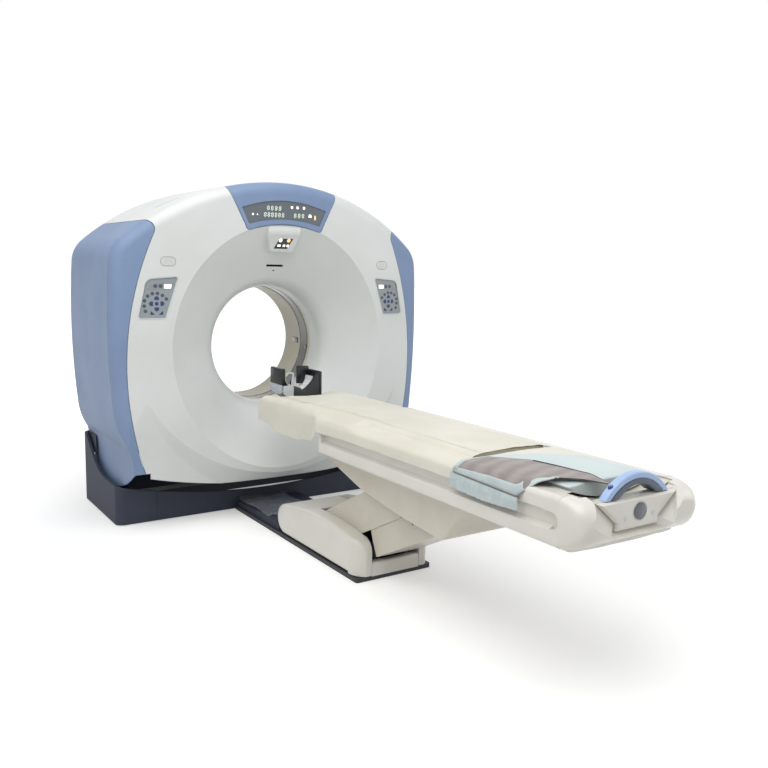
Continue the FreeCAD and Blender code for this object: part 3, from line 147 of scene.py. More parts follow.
@dataclass(frozen=True)
class Finish:
    """One finish of the scanner, with real sizes for its pattern."""

    name: str
    slot: str
    base: str
    shade: str
    surface: Surface
    roughness: float = 0.4
    metallic: float = 0.0
    ior: float = 1.5
    coat: float = 0.0
    sheen: float = 0.0
    grain_mm: float = 1.2
    relief_mm: float = 0.03
    patch_mm: float = 400.0
    glow: float = 0.0
    fade: Fade | None = None

    def material(self) -> bpy.types.Material:
        """Build the node material, once for each name."""
        made = bpy.data.materials.get(self.name)
        if made:
            return made
        made = bpy.data.materials.new(self.name)
        made.use_nodes = True
        tree = made.node_tree
        shader = tree.nodes["Principled BSDF"]
        place = add_node(tree, "TexCoord", {}, {}).outputs["Object"]
        patches = add_node(tree, "TexNoise", {"Scale": 1000 / self.patch_mm, "Detail": 4.0, "Roughness": 0.6},
                           {"Vector": place}).outputs["Fac"]
        spread = add_node(tree, "MapRange", {"From Min": 0.35, "From Max": 0.65},
                          {"Value": patches}).outputs["Result"]
        colour = add_node(tree, "Mix", {"data_type": "RGBA", 6: linear(self.base), 7: linear(self.shade)},
                          {0: spread}).outputs[2]
        if self.fade:
            colour = self.fade.apply(tree, place, colour)
        grain, colour = self.pattern(tree, place, colour)
        tree.links.new(colour, shader.inputs["Base Color"])
        if grain is not None:
            bump = add_node(tree, "Bump", {"Distance": self.relief_mm * MM, "Strength": 1.0},
                            {"Height": grain})
            tree.links.new(bump.outputs["Normal"], shader.inputs["Normal"])
            limits = {"To Min": max(self.roughness - 0.06, 0.02), "To Max": min(self.roughness + 0.08, 1.0)}
            rough = add_node(tree, "MapRange", limits, {"Value": patches})
            tree.links.new(rough.outputs["Result"], shader.inputs["Roughness"])
        else:
            shader.inputs["Roughness"].default_value = self.roughness
        shader.inputs["Metallic"].default_value = self.metallic
        if not self.metallic:
            shader.inputs["IOR"].default_value = self.ior
        shader.inputs["Coat Weight"].default_value = self.coat
        shader.inputs["Coat Roughness"].default_value = 0.12
        shader.inputs["Sheen Weight"].default_value = self.sheen
        if self.glow:
            shader.inputs["Emission Color"].default_value = linear(self.base)
            shader.inputs["Emission Strength"].default_value = self.glow
        if self.surface is Surface.FILM:
            shader.inputs["Transmission Weight"].default_value = 0.9
        return made

    def pattern(self, tree: bpy.types.NodeTree, place: bpy.types.NodeSocket,
                colour: bpy.types.NodeSocket) -> tuple[bpy.types.NodeSocket | None, bpy.types.NodeSocket]:
        """Make the height and colour pattern that the surface's making leaves.

        Args:
            tree: the material's node tree.
            place: the coordinate that the pattern follows.
            colour: the colour before the pattern.

        Returns:
            The height, or None for a polished surface, and the colour.
        """
        scale = 1000 / self.grain_mm
        if self.surface in (Surface.LIT, Surface.FILM, Surface.GLOSSY):
            return None, colour
        if self.surface is Surface.BRUSHED:
            long = add_node(tree, "Mapping", {"Scale": (0.04, 1.0, 1.0)}, {"Vector": place}).outputs["Vector"]
            return add_node(tree, "TexNoise", {"Scale": scale, "Detail": 3.0},
                            {"Vector": long}).outputs["Fac"], colour
        if self.surface is Surface.WOVEN:
            threads = [add_node(tree, "TexWave",
                                {"bands_direction": axis, "Scale": scale / 20, "Distortion": 0.4},
                                {"Vector": place}).outputs["Fac"] for axis in ("X", "Y", "Z")]
            crossed = add_node(tree, "Math", {"operation": "MAXIMUM"},
                               {0: threads[0], 1: threads[1]}).outputs[0]
            weave = add_node(tree, "Math", {"operation": "MAXIMUM"}, {0: crossed, 1: threads[2]}).outputs[0]
            darker = add_node(tree, "Mix", {"data_type": "RGBA", "blend_type": "MULTIPLY", 0: 0.25},
                              {6: colour, 7: weave}).outputs[2]
            return weave, darker
        if self.surface is Surface.STRIPED:
            sheet = add_node(tree, "UVMap", {"uv_map": "pattern"}, {}).outputs["UV"]
            stripes = add_node(tree, "TexWave",
                               {"bands_direction": "Y", "Scale": self.grain_mm, "Distortion": 0.6},
                               {"Vector": sheet}).outputs["Fac"]
            darker = add_node(tree, "Mix", {"data_type": "RGBA", "blend_type": "MULTIPLY", 0: 0.22},
                              {6: colour, 7: stripes}).outputs[2]
            return stripes, darker
        if self.surface is Surface.VINYL:
            cells = add_node(tree, "TexVoronoi", {"Scale": scale, "feature": "DISTANCE_TO_EDGE"},
                             {"Vector": place}).outputs["Distance"]
            return cells, colour
        detail = {"Detail": 6.0, "Roughness": 0.7} if self.surface is Surface.CAST else {"Detail": 2.0}
        return add_node(tree, "TexNoise", {"Scale": scale, **detail},
                        {"Vector": place}).outputs["Fac"], colour


# Sprayed structural-foam covers: an even satin skin with faint orange peel, a little warmer with age.
COVER_WHITE = Finish("sprayed_white_cover", "cover_white", "#DBDEDD", "#D5D9D7", Surface.PAINTED, 0.38,
                     coat=0.12,
                     grain_mm=2.2, relief_mm=0.02)
# The same spray in a greyed blue, so that the side covers stand apart from the white front.
COVER_BLUE = Finish("sprayed_blue_cover", "cover_blue", "#7E93B5", "#778CAE", Surface.PAINTED, 0.52,
                    grain_mm=2.2, relief_mm=0.02)
# Dark blue rim round the display window; its dark colour is painted shade for the shadow under the window's
# upper rim.
BLUE_PAINTED_SHADE = Finish("painted_shade_blue_rim", "cover_blue", "#46567E", "#414F75", Surface.MOULDED, 0.5)
# Moulded ABS base, dull and almost black-blue, with rubbed paler patches.
BASE_DARK = Finish("moulded_dark_base", "base_dark", "#2A2F3E", "#323747", Surface.MOULDED, 0.7, grain_mm=1.5,
                   relief_mm=0.05)
# Matt membrane of the control panels, printed a cool grey.
KEYPAD = Finish("printed_membrane_keypad", "keypad_grey", "#959EA2", "#8D969B", Surface.MOULDED, 0.42,
                grain_mm=0.8)
KEYPAD_RIM = Finish("moulded_pale_keypad_rim", "button_grey", "#D3D6D5", "#CBCECD", Surface.MOULDED, 0.42,
                    grain_mm=1.0)
# Smoked strip behind the keypad's little screen, shinier than the membrane round it.
KEY_STRIP = Finish("smoked_keypad_strip", "keypad_grey", "#8B9398", "#848C91", Surface.GLOSSY, 0.3)
KEY_NAVY = Finish("printed_navy_key", "button_navy", "#2B3A6E", "#27355F", Surface.GLOSSY, 0.35)
KEY_DARK = Finish("printed_dark_key", "button_navy", "#4A5260", "#424A57", Surface.GLOSSY, 0.35)
# Pale moulded buttons, a shade greyer than the cover round them.
BUTTON = Finish("moulded_cover_button", "button_grey", "#D6D9D7", "#CFD2D0", Surface.MOULDED, 0.4,
                grain_mm=1.0)
BUTTON_MARK = Finish("printed_grey_ring", "button_grey", "#9EA5A8", "#969DA1", Surface.GLOSSY, 0.4)
# Smoked acrylic over the figures, which shines softly over the dark board behind it.
WINDOW = Finish("smoked_acrylic_window", "window_black", "#626B73", "#5A636B", Surface.GLOSSY, 0.16, coat=0.4)
DARK_GLASS = Finish("black_acrylic_lens", "lens_clear", "#23231F", "#1E1E1C", Surface.GLOSSY, 0.12, coat=0.5)
# Lit figures and marks give an even glow with no shading.
GLOW_GREEN = Finish("lit_pale_green_segment", "window_black", "#E9F5E0", "#E9F5E0", Surface.LIT, 0.4,
                    glow=1.0)
GLOW_WHITE = Finish("lit_white_mark", "window_black", "#F4F5F2", "#F4F5F2", Surface.LIT, 0.4, glow=0.9)
GLOW_AMBER = Finish("lit_amber_mark", "window_black", "#F2C58A", "#F2C58A", Surface.LIT, 0.4, glow=0.9)
# Mylar film of the scan window, dark and a little shiny in the bore.
RING_DARK = Finish("dark_scan_window_film", "scan_ring", "#4B4D49", "#434541", Surface.GLOSSY, 0.22, coat=0.3)
RING_OLIVE = Finish("olive_ring_trim", "scan_ring", "#8C8A74", "#848269", Surface.MOULDED, 0.45)
# Bore liner, moulded in a greenish beige that is flatter than the covers.
LINER = Finish("moulded_beige_liner", "liner_beige", "#D3CFBD", "#CBC7B5", Surface.MOULDED, 0.42,
               grain_mm=1.6)
# Black sheets that paint the shade inside the laser slot and in the thin gap at the bore's front edge.
BLACK_PAINTED_SHADE = Finish("painted_shade_black", "lens_clear", "#141415", "#101011", Surface.MOULDED, 0.8,
                   grain_mm=2.0)
# Powder-coated steel, with the fine bumps of the coating.
FRAME_PAINT = Finish("powder_coated_frame", "frame_paint", "#4B5157", "#454B51", Surface.PAINTED, 0.5,
                     grain_mm=1.4,
                     relief_mm=0.06)
# Cast iron with the sand's grain under thin grey primer.
CASTING = Finish("sand_cast_iron", "cast_metal", "#6B7075", "#5F6469", Surface.CAST, 0.62, metallic=0.4,
                 grain_mm=2.5,
                 relief_mm=0.25)
# Ground steel and turned aluminium show the tool's fine lines.
STEEL = Finish("ground_steel", "bare_steel", "#A7ABAE", "#9DA1A4", Surface.BRUSHED, 0.3, metallic=1.0,
               grain_mm=0.6)
ALUMINIUM = Finish("turned_aluminium", "aluminium", "#B9BDC0", "#AEB2B6", Surface.BRUSHED, 0.34, metallic=1.0,
                   grain_mm=0.6)
TUBE_PAINT = Finish("enamelled_tube_housing", "tube_paint", "#C9CDD1", "#C1C5CA", Surface.PAINTED, 0.3,
                    coat=0.3)
DETECTOR = Finish("black_detector_case", "detector_black", "#23262A", "#1E2124", Surface.MOULDED, 0.55)
SLIP_BRASS = Finish("turned_brass_rings", "slip_brass", "#C6A15A", "#BB964F", Surface.BRUSHED, 0.28,
                    metallic=1.0)
BELT = Finish("ribbed_rubber_belt", "belt_rubber", "#1E1E1E", "#191919", Surface.MOULDED, 0.75, grain_mm=2.0)
MOTOR = Finish("painted_motor_case", "motor_paint", "#2E3338", "#292E33", Surface.PAINTED, 0.45)
# Moulded table shells, creamier than the gantry and glossier, with long soft highlights.
TABLE_CREAM = Finish("moulded_cream_table_shell", "table_cream", "#E2E0D8", "#DBD8CE", Surface.PAINTED, 0.3,
                     coat=0.25,
                     grain_mm=2.4, relief_mm=0.02)
LEG_BEIGE = Finish("moulded_beige_leg_shell", "table_cream", "#D6D0C2", "#CCC5B6", Surface.PAINTED, 0.34,
                   coat=0.2,
                   grain_mm=2.4, relief_mm=0.02)
# Dark strips that paint the shade in the gaps round the pedals.
SEAM_SHADE = Finish("painted_shade_seam", "base_dark", "#3A3835", "#33312F", Surface.MOULDED, 0.7)
PLATE = Finish("powder_coated_floor_plate", "plate_grey", "#26282D", "#2F3136", Surface.PAINTED, 0.55,
               grain_mm=1.6,
               relief_mm=0.06)
# Lacquered carbon laminate, even and hard, with a thin clear coat.
CRADLE = Finish("lacquered_laminate_cradle", "cradle_shell", "#DAD4C6", "#D2CCBE", Surface.PAINTED, 0.32,
                coat=0.3)
HANDLE_BLUE = Finish("moulded_blue_handle", "handle_blue", "#A9C3EA", "#A0BAE3", Surface.MOULDED, 0.35,
                     coat=0.15)
HANDLE_GREY = Finish("moulded_grey_grip", "handle_blue", "#596270", "#525B68", Surface.MOULDED, 0.5,
                     grain_mm=1.0,
                     relief_mm=0.08)
BUTTON_NAVY = Finish("moulded_navy_button", "button_navy", "#2C4386", "#27397A", Surface.MOULDED, 0.35)
# Coated fabric: a fine pebble pattern with a slight satin sheen along the folds.
VINYL = Finish("coated_beige_vinyl", "vinyl_beige", "#E0DDD0", "#D9D5C6", Surface.VINYL, 0.4, sheen=0.1,
               grain_mm=3.0, relief_mm=0.12, patch_mm=250)
# Pale blue vinyl of the foot pad, which turns beige across a slanted line near its head end.
FOOT_VINYL = Finish("coated_pale_blue_vinyl", "foam_blue", "#CEDADA", "#C6D3D4", Surface.VINYL, 0.42,
                    grain_mm=3.0,
                    relief_mm=0.1, fade=Fade("#DEDBCE", (51, -2639), (0.48, 0.87), 22))
# Brushed tricot over thin wadding, with stitched lines along the strap drawn coarser than the real ones.
QUILT = Finish("quilted_taupe_cloth", "quilt_grey", "#A59C99", "#98908C", Surface.STRIPED, 0.85, sheen=0.3,
               grain_mm=2.4, relief_mm=0.8, patch_mm=70)
QUILT_BORDER = Finish("woven_pale_border", "foam_blue", "#C6D2D3", "#B9C6C8", Surface.MOULDED, 0.8, sheen=0.2,
                      grain_mm=3.0, relief_mm=0.2, patch_mm=60)
EDGE_BLACK = Finish("black_edge_binding", "holder_black", "#26272A", "#1F2022", Surface.WOVEN, 0.9,
                    grain_mm=2.0)
# Black moulding of the head holder, nearly smooth, with soft highlights on its edges.
HOLDER = Finish("moulded_black_head_holder", "holder_black", "#191B20", "#141619", Surface.MOULDED, 0.35,
                coat=0.1)
HOLDER_SILVER = Finish("moulded_silver_trim", "aluminium", "#BCC1C7", "#B4B9C0", Surface.MOULDED, 0.35)
PAD_WHITE = Finish("knitted_white_pad", "pad_white", "#E6E8EA", "#DADDE0", Surface.WOVEN, 0.85, sheen=0.2,
                   grain_mm=3.0, relief_mm=0.3)
# Thin crumpled polythene laid over the pedals, clear apart from its glints.
CLEAR_FILM = Finish("clear_polythene_film", "lens_clear", "#E3E9F0", "#D9E0E9", Surface.FILM, 0.14, ior=1.35)
BADGE = Finish("bare_dark_badge", "aluminium", "#50565E", "#484E56", Surface.GLOSSY, 0.3, coat=0.3)

NODE_FINISHES: dict[Finish, tuple[str, ...]] = {
    COVER_WHITE: ("front_cover", "top_cover", "rear_cover"),
    COVER_BLUE: ("right_corner_cover", "left_corner_cover", "right_side_cover", "left_side_cover",
                 "display_console"),
    BASE_DARK: ("base_front_cover", "base_left_cover", "base_right_cover", "base_rear_cover", "bridge_cover"),
    KEYPAD: ("right_keypad", "left_keypad"),
    BUTTON: ("right_oval_button", "left_oval_button"),
    WINDOW: ("display_window",),
    DARK_GLASS: ("indicator_lens",),
    RING_DARK: ("scan_window",),
    LINER: ("tunnel_liner",),
    FRAME_PAINT: ("base_frame", "pivot_brackets", "upper_arms", "lower_arms", "table_frame"),
    CASTING: ("gantry_frame", "tilt_sector"),
    STEEL: ("tilt_pinion", "lift_rod"),
    ALUMINIUM: ("rotor_drum", "rotor_pulley", "cradle_roller", "collimator"),
    TUBE_PAINT: ("xray_tube", "generator_tank"),
    DETECTOR: ("detector_array",),
    SLIP_BRASS: ("slip_ring",),
    BELT: ("rotor_belt",),
    MOTOR: ("rotor_motor", "tilt_gearmotor", "lift_cylinder"),
    TABLE_CREAM: ("table_right_cover", "table_left_cover", "table_end_cover", "table_body", "cradle_bracket"),
    LEG_BEIGE: ("upper_leg_cover", "lower_leg_cover", "table_hull"),
    PLATE: ("floor_plate",),
    CRADLE: ("cradle",),
    HANDLE_BLUE: ("cradle_handle",),
    BUTTON_NAVY: ("handle_button",),
    VINYL: ("mattress", "mattress_cover"),
    FOOT_VINYL: ("foot_pad",),
    QUILT: ("quilted_strap",),
    HOLDER: ("head_holder",),
    PAD_WHITE: ("head_pad",),
}


def dress_nodes() -> None:
    """Give every CAD node the finish of the real piece."""
    for finish, names in NODE_FINISHES.items():
        for name in names:
            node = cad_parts[name]
            node.data.materials.clear()
            node.data.materials.append(finish.material())


# ---------------------------------------------------------------- mesh helpers


class Axis(enum.Enum):
    """The axis that an outline is raised along, with the places of its two own axes and of the depth."""

    X = (1, 2, 0)
    Y = (0, 2, 1)
    Z = (0, 1, 2)

    def at(self, across: float, up: float, depth: float) -> Vector:
        """Place a point, given in millimetres, in metres."""
        spot = Vector()
        for index, amount in zip(self.value, (across, up, depth)):
            spot[index] = amount * MM
        return spot


def front_face(x: float, inset: float = 0.0) -> float:
    """Where the bowed front stands at a distance from the middle, in millimetres."""
    return FRONT + inset + x * x / (2 * BOW_RADIUS)


def add_piece(name: str, mesh: bmesh.types.BMesh, body: str, finish: Finish,
              smooth: float | None = 35.0) -> bpy.types.Object:
    """Turn a bmesh into a piece that rides on a body.

    Args:
        name: the piece's name.
        mesh: its geometry, in the row frame, in metres. It is freed.
        body: the CAD body that it moves with.
        finish: its finish.
        smooth: the sharpest angle in degrees that is shaded smooth, or None for flat faces.

    Returns:
        The new object.
    """
    bmesh.ops.recalc_face_normals(mesh, faces=mesh.faces)
    data = bpy.data.meshes.new(name)
    mesh.to_mesh(data)
    mesh.free()
    made = bpy.data.objects.new(name, data)
    bpy.context.scene.collection.objects.link(made)
    data.materials.append(finish.material())
    if smooth is not None:
        data.shade_smooth()
        data.set_sharp_from_angle(angle=math.radians(smooth))
    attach(made, body)
    LOG.info("piece %s: %d faces on %s", name, len(data.polygons), body)
    return made


def thicken(piece: bpy.types.Object, thickness: float, levels: int = 1, side: float = 1.0) -> None:
    """Give a sheet its thickness in millimetres, on one side of its faces, and round it by subdivision."""
    solid = piece.modifiers.new("thickness", "SOLIDIFY")
    solid.thickness = thickness * MM
    solid.offset = side
    if levels:
        round_off = piece.modifiers.new("rounding", "SUBSURF")
        round_off.levels = round_off.render_levels = levels


def trace(path: Sequence[Sequence[float]], steps: int = 6) -> Outline:
    """Follow an outline whose corners may start a curve.

    Args:
        path: corners; one with four numbers starts a curve to the next through its last two.
        steps: how many parts a curve is divided into.

    Returns:
        Points along the outline.
    """
    points = []
    for index, corner in enumerate(path):
        start = Vector(corner[:2])
        points.append(tuple(start))
        if len(corner) == 4:
            middle, end = Vector(corner[2:]), Vector(path[(index + 1) % len(path)][:2])
            for step in range(1, steps):
                t = step / steps
                ends = start * (1 - t) * (1 - 2 * t) + middle * 4 * t * (1 - t)
                points.append(tuple(ends + end * t * (2 * t - 1)))
    return points


def both_sides(right: Sequence[tuple[float, float]]) -> Outline:
    """Complete an outline from its right half, given from the top down."""
    return [*right, *[(-x, z) for x, z in reversed(right)]]


def circle(x: float, z: float, radius: float, count: int = 24) -> Outline:
    """Corners of a circle."""
    turns = [2 * math.pi * i / count for i in range(count)]
    return [(x + radius * math.cos(t), z + radius * math.sin(t)) for t in turns]


def oblong(x: float, z: float, width: float, height: float, radius: float) -> Outline:
    """Corners of a rectangle with round corners, from its middle and size."""
    points = []
    for side, up, start in ((1, 1, 0), (-1, 1, 90), (-1, -1, 180), (1, -1, 270)):
        middle = (x + side * (width / 2 - radius), z + up * (height / 2 - radius))
        for step in range(5):
            turn = math.radians(start + 22.5 * step)
            points.append((middle[0] + radius * math.cos(turn), middle[1] + radius * math.sin(turn)))
    return points


def prism(mesh: bmesh.types.BMesh, outline: Outline, low: float, high: float, bevel: float = 0.0,
          axis: Axis = Axis.Y) -> list[bmesh.types.BMVert]:
    """Raise an outline into a closed block.

    Args:
        mesh: the bmesh to add to.
        outline: corners in the axis's own plane, in millimetres.
        low: where the block starts along the axis.
        high: where it ends.
        bevel: the width of the rounding on its edges.
        axis: the axis that it is raised along.

    Returns:
        The block's vertices.
    """
    start = [mesh.verts.new(axis.at(a, b, low)) for a, b in outline]
    grown = bmesh.ops.extrude_face_region(mesh, geom=[mesh.faces.new(start)], use_keep_orig=True)
    back = [v for v in grown["geom"] if isinstance(v, bmesh.types.BMVert)]
    bmesh.ops.translate(mesh, verts=back, vec=axis.at(0, 0, high - low))
    block = start + back
    if bevel:
        edges = list({e for v in block for e in v.link_edges})
        made = bmesh.ops.bevel(mesh, geom=edges, offset=bevel * MM, segments=2, profile=0.5, affect="EDGES",
                               material=-1)
        block = list(set(made["verts"]) | {v for v in block if v.is_valid})
    return block


def band(mesh: bmesh.types.BMesh, outline: Outline, width: float, low: float,
         high: float) -> list[bmesh.types.BMVert]:
    """Raise a strip of even width inside an outline in the XZ plane.

    Known fault: the new face has no normal yet, so the inset moves nothing and the strip has no width.

    Args:
        mesh: the bmesh to add to.
        outline: the strip's outer edge, in millimetres.
        width: how wide the strip is.
        low: its front along Y.
        high: its back along Y.

    Returns:
        The strip's vertices.
    """
    face = mesh.faces.new([mesh.verts.new(Axis.Y.at(x, z, low)) for x, z in outline])
    rim = bmesh.ops.inset_region(mesh, faces=[face], thickness=width * MM, use_even_offset=True,
                                 use_boundary=True)["faces"]
    bmesh.ops.delete(mesh, geom=[face], context="FACES_ONLY")
    grown = bmesh.ops.extrude_face_region(mesh, geom=rim, use_keep_orig=True)["geom"]
    back = [v for v in grown if isinstance(v, bmesh.types.BMVert)]
    bmesh.ops.translate(mesh, verts=back, vec=Axis.Y.at(0, 0, high - low))
    return list({v for f in rim for v in f.verts}) + back


def add_blocks(name: str, body: str, finish: Finish, blocks: Sequence[tuple],
               smooth: float | None = 35.0) -> None:
    """Add a piece made of raised outlines.

    Args:
        name: the piece's name.
        body: the CAD body that it moves with.
        finish: its finish.
        blocks: for each block what prism takes after the mesh.
        smooth: as for add_piece.
    """
    mesh = bmesh.new()
    for block in blocks:
        prism(mesh, *block)
    add_piece(name, mesh, body, finish, smooth)


def follow_front(verts: list[bmesh.types.BMVert], inset: float) -> None:
    """Push vertices back so that they follow the bow of the front."""
    for vert in verts:
        vert.co.y += front_face(vert.co.x / MM, inset) * MM


def lay_grid(mesh: bmesh.types.BMesh, columns: int, rows: int,
             place: Callable[[float, float], Vector]) -> None:
    """Lay a grid of faces with its own UV map over a form.

    Args:
        mesh: the bmesh to add to.
        columns: faces across.
        rows: faces along.
        place: gives the point in metres for two numbers from 0 to 1.
    """
    if not mesh.loops.layers.uv:
        mesh.loops.layers.uv.new("pattern")
    made = bmesh.ops.create_grid(mesh, x_segments=columns, y_segments=rows, size=0.5, calc_uvs=True)
    for vert in made["verts"]:
        vert.co = place(vert.co.x + 0.5, vert.co.y + 0.5)


def along(points: Sequence[Vector], share: float) -> Vector:
    """The point at a share of a line's length."""
    lengths = [(b - a).length for a, b in zip(points, points[1:])]
    left = max(0.0, min(share, 1.0)) * sum(lengths)
    for index, length in enumerate(lengths):
        if left <= length or index == len(lengths) - 1:
            return points[index].lerp(points[index + 1], left / length if length else 0.0)
        left -= length
    return points[-1]


def smoothstep(low: float, high: float, amount: float) -> float:
    """Rise softly from 0 to 1 between two amounts."""
    t = max(0.0, min((amount - low) / (high - low), 1.0))
    return t * t * (3 - 2 * t)


def ring(name: str, body: str, finish: Finish, section: Outline) -> bpy.types.Object:
    """Turn a section round the bore's axis.

    Known fault: the spin leaves the section as a face at each step, and only the first is taken out.

    Args:
        name: the piece's name.
        body: the body it rides on.
        finish: its finish.
        section: corners as the distance along Y and the radius, in millimetres.

    Returns:
        The new piece.
    """
    mesh = bmesh.new()
    verts = [mesh.verts.new(Axis.X.at(y, BORE_HEIGHT + radius, 0)) for y, radius in section]
    face = mesh.faces.new(verts)
    bmesh.ops.spin(mesh, geom=[face, *face.edges, *verts], cent=Axis.X.at(0, BORE_HEIGHT, 0), axis=(0, 1, 0),
                   angle=2 * math.pi, steps=RING_STEPS, use_merge=True)
    first = [f for f in mesh.faces if len(f.verts) == len(section)
             and f.normal.cross(Vector((1, 0, 0))).length < 1e-4 and abs(f.calc_center_median().x) < 1e-6]
    bmesh.ops.delete(mesh, geom=first, context="FACES_ONLY")
    return add_piece(name, mesh, body, finish)


# ---------------------------------------------------------------- gantry


@dataclass
class Display:
    """The lit numbers and marks behind the console's window, and the strips round it."""

    digit_height: float = 25.0
    digit_width: float = 14.0
    bar: float = 3.2
    gap: float = 0.5
    proud: float = 0.6
    slant: float = 0.06

    def segments(self) -> list[tuple[float, float, float, float]]:
        """Left, foot, right and top of the seven bars of one figure."""
        w, h, b = self.digit_width, self.digit_height, self.bar
        mid = h / 2
        return [(b, 0, w - b, b), (b, mid - b / 2, w - b, mid + b / 2), (b, h - b, w - b, h),
                (0, b, b, mid - b / 2),
                (w - b, b, w, mid - b / 2), (0, mid + b / 2, b, h - b), (w - b, mid + b / 2, w, h - b)]

    def mark(self, mesh: bmesh.types.BMesh, outline: Outline) -> None:
        """Add one lit mark on the window."""
        follow_front(prism(mesh, outline, -self.proud, 0.4), PANEL_INSET)

    def row(self, name: str, count: int, left: float, right: float, foot: float) -> None:
        """Add a row of eights between two places."""
        mesh = bmesh.new()
        step = (right - left - self.digit_width) / max(count - 1, 1)
        for index in range(count):
            x = left + index * step
            for low_x, low, high_x, high in self.segments():
                corners = [(low_x + self.gap, low + self.gap), (high_x - self.gap, low + self.gap),
                           (high_x - self.gap, high - self.gap), (low_x + self.gap, high - self.gap)]
                self.mark(mesh, [(x + a + b * self.slant, foot + b) for a, b in corners])
        add_piece(name, mesh, "gantry", GLOW_GREEN, None)

    def window_path(self, spread: float) -> Outline:
        """The window's outline, moved outwards."""
        s = spread
        return trace([
            (-262 - s, 1784, -264 - s, 1794 + s), (-252 - s, 1798 + s, 0, 1841 + s),
            (252 + s, 1798 + s, 264 + s, 1794 + s),
            (262 + s, 1784), (230 + s, 1716, 224 + s, 1707 - s), (212 + s, 1706 - s, 0, 1735 - s),
            (-212 - s, 1706 - s, -224 - s, 1707 - s), (-230 - s, 1716)], 12)

    def build(self) -> None:
        """Build all rows, marks and strips."""
        self.row("display_upper_figures", 4, -113, -26, 1784)
        self.row("display_lower_figures", 6, -132, -7, 1747)
        self.row("display_right_figures", 3, 57, 122, 1748)
        mesh = bmesh.new()
        for x in (44, 80, 122):
            self.mark(mesh, oblong(x, 1806, 14, 15, 5))
        self.mark(mesh, circle(-199, 1758, 6))
        self.mark(mesh, circle(-172, 1758, 4))
        self.mark(mesh, [(153, 1754), (160, 1754), (162, 1762), (165, 1754), (172, 1754), (172, 1767),
                         (162, 1774),
                         (153, 1767)])
        add_piece("display_white_marks", mesh, "gantry", GLOW_WHITE, None)
        mesh = bmesh.new()
        self.mark(mesh, oblong(196, 1754, 9, 26, 3))
        add_piece("display_amber_mark", mesh, "gantry", GLOW_AMBER, None)
        # A dark blue band round the window, whose colour is painted shade under the window's upper rim.
        mesh = bmesh.new()
        follow_front(band(mesh, self.window_path(1), 6, -0.5, 3), PANEL_INSET)
        add_piece("display_rim_painted_shade", mesh, "gantry", BLUE_PAINTED_SHADE)


@dataclass
class Keypads:
    """Printed keys on both keypads; the right one is the mirror of the left one."""

    key_radius: float = 9.5
    cross: tuple[float, float] = (-746, 1262)
    arc_keys: tuple[tuple[float, float], ...] = (
        (-806, 1222), (-812, 1250), (-810, 1278), (-793, 1303), (-768, 1316), (-741, 1317), (-715, 1306),
        (-694, 1287))

    def arrow(self, side: float, angle: float, reach: float) -> Outline:
        """Corners of one arrow key, which points away from the cross's middle."""
        x, z = self.cross
        corners = [(reach - 11, -12), (reach + 2, -12), (reach + 11, 0), (reach + 2, 12), (reach - 11, 12)]
        turn = math.radians(angle)
        return [(side * (x + a * math.cos(turn) - b * math.sin(turn)),
                 z + a * math.sin(turn) + b * math.cos(turn))
                for a, b in corners]

    def block(self, mesh: bmesh.types.BMesh, outline: Outline, rise: float, bevel: float = 0.6) -> None:
        """Add one raised key on the panel."""
        follow_front(prism(mesh, outline, -rise, 0.8, bevel), PANEL_INSET)

    def build(self) -> None:
        """Build the keys of both sides."""
        for tag, side in (("left", 1.0), ("right", -1.0)):
            mesh = bmesh.new()
            for x, z in self.arc_keys:
                self.block(mesh, circle(side * x, z, self.key_radius), 1.6)
            for x, z in ((-752, 1356), (-724, 1356)):
                self.block(mesh, circle(side * x, z, 10.5), 1.6)
            add_piece(f"{tag}_keypad_round_keys", mesh, "gantry", KEY_DARK)
            mesh = bmesh.new()
            for angle in (0, 90, 180, 270):
                self.block(mesh, self.arrow(side, angle, 31), 1.8)
            for x, z in ((-768, 1212), (-724, 1212)):
                lean = 10 if x > self.cross[0] else -10
                self.block(mesh, [(side * (x - 12), z - 9), (side * (x + 12), z - 9),
                                  (side * (x + lean), z + 11)], 1.8)
            self.block(mesh, circle(side * self.cross[0], self.cross[1], 10), 1.8)
            add_piece(f"{tag}_keypad_arrow_keys", mesh, "gantry", KEY_NAVY)
            mesh = bmesh.new()
            self.block(mesh, [(side * x, z) for x,
                              z in ((-706, 1343), (-668, 1343), (-665, 1366), (-704, 1366))], 1.2)
            add_piece(f"{tag}_keypad_screen", mesh, "gantry", GLOW_WHITE)
            mesh = bmesh.new()
            strip = ((-800, 1332), (-668, 1336), (-650, 1372), (-720, 1376), (-775, 1362))
            self.block(mesh, [(side * x, z) for x, z in strip], 0.5, 0.0)
            add_piece(f"{tag}_keypad_strip", mesh, "gantry", KEY_STRIP)
            mesh = bmesh.new()
            s = 5
            rim = trace([(-843 - s, 1196, -838 - s, 1187 - s), (-830, 1184 - s),
                         (-712, 1184 - s, -702 + s, 1187 - s),
                         (-698 + s, 1198), (-636 + s, 1388, -636 + s, 1400 + s), (-648, 1404 + s),
                         (-770, 1392 + s, -786 - s, 1390 + s), (-796 - s, 1376)], 4)
            follow_front(band(mesh, [(side * x, z) for x, z in rim], 4, -1.4, 6), 0)
            add_piece(f"{tag}_keypad_rim", mesh, "gantry", KEYPAD_RIM)


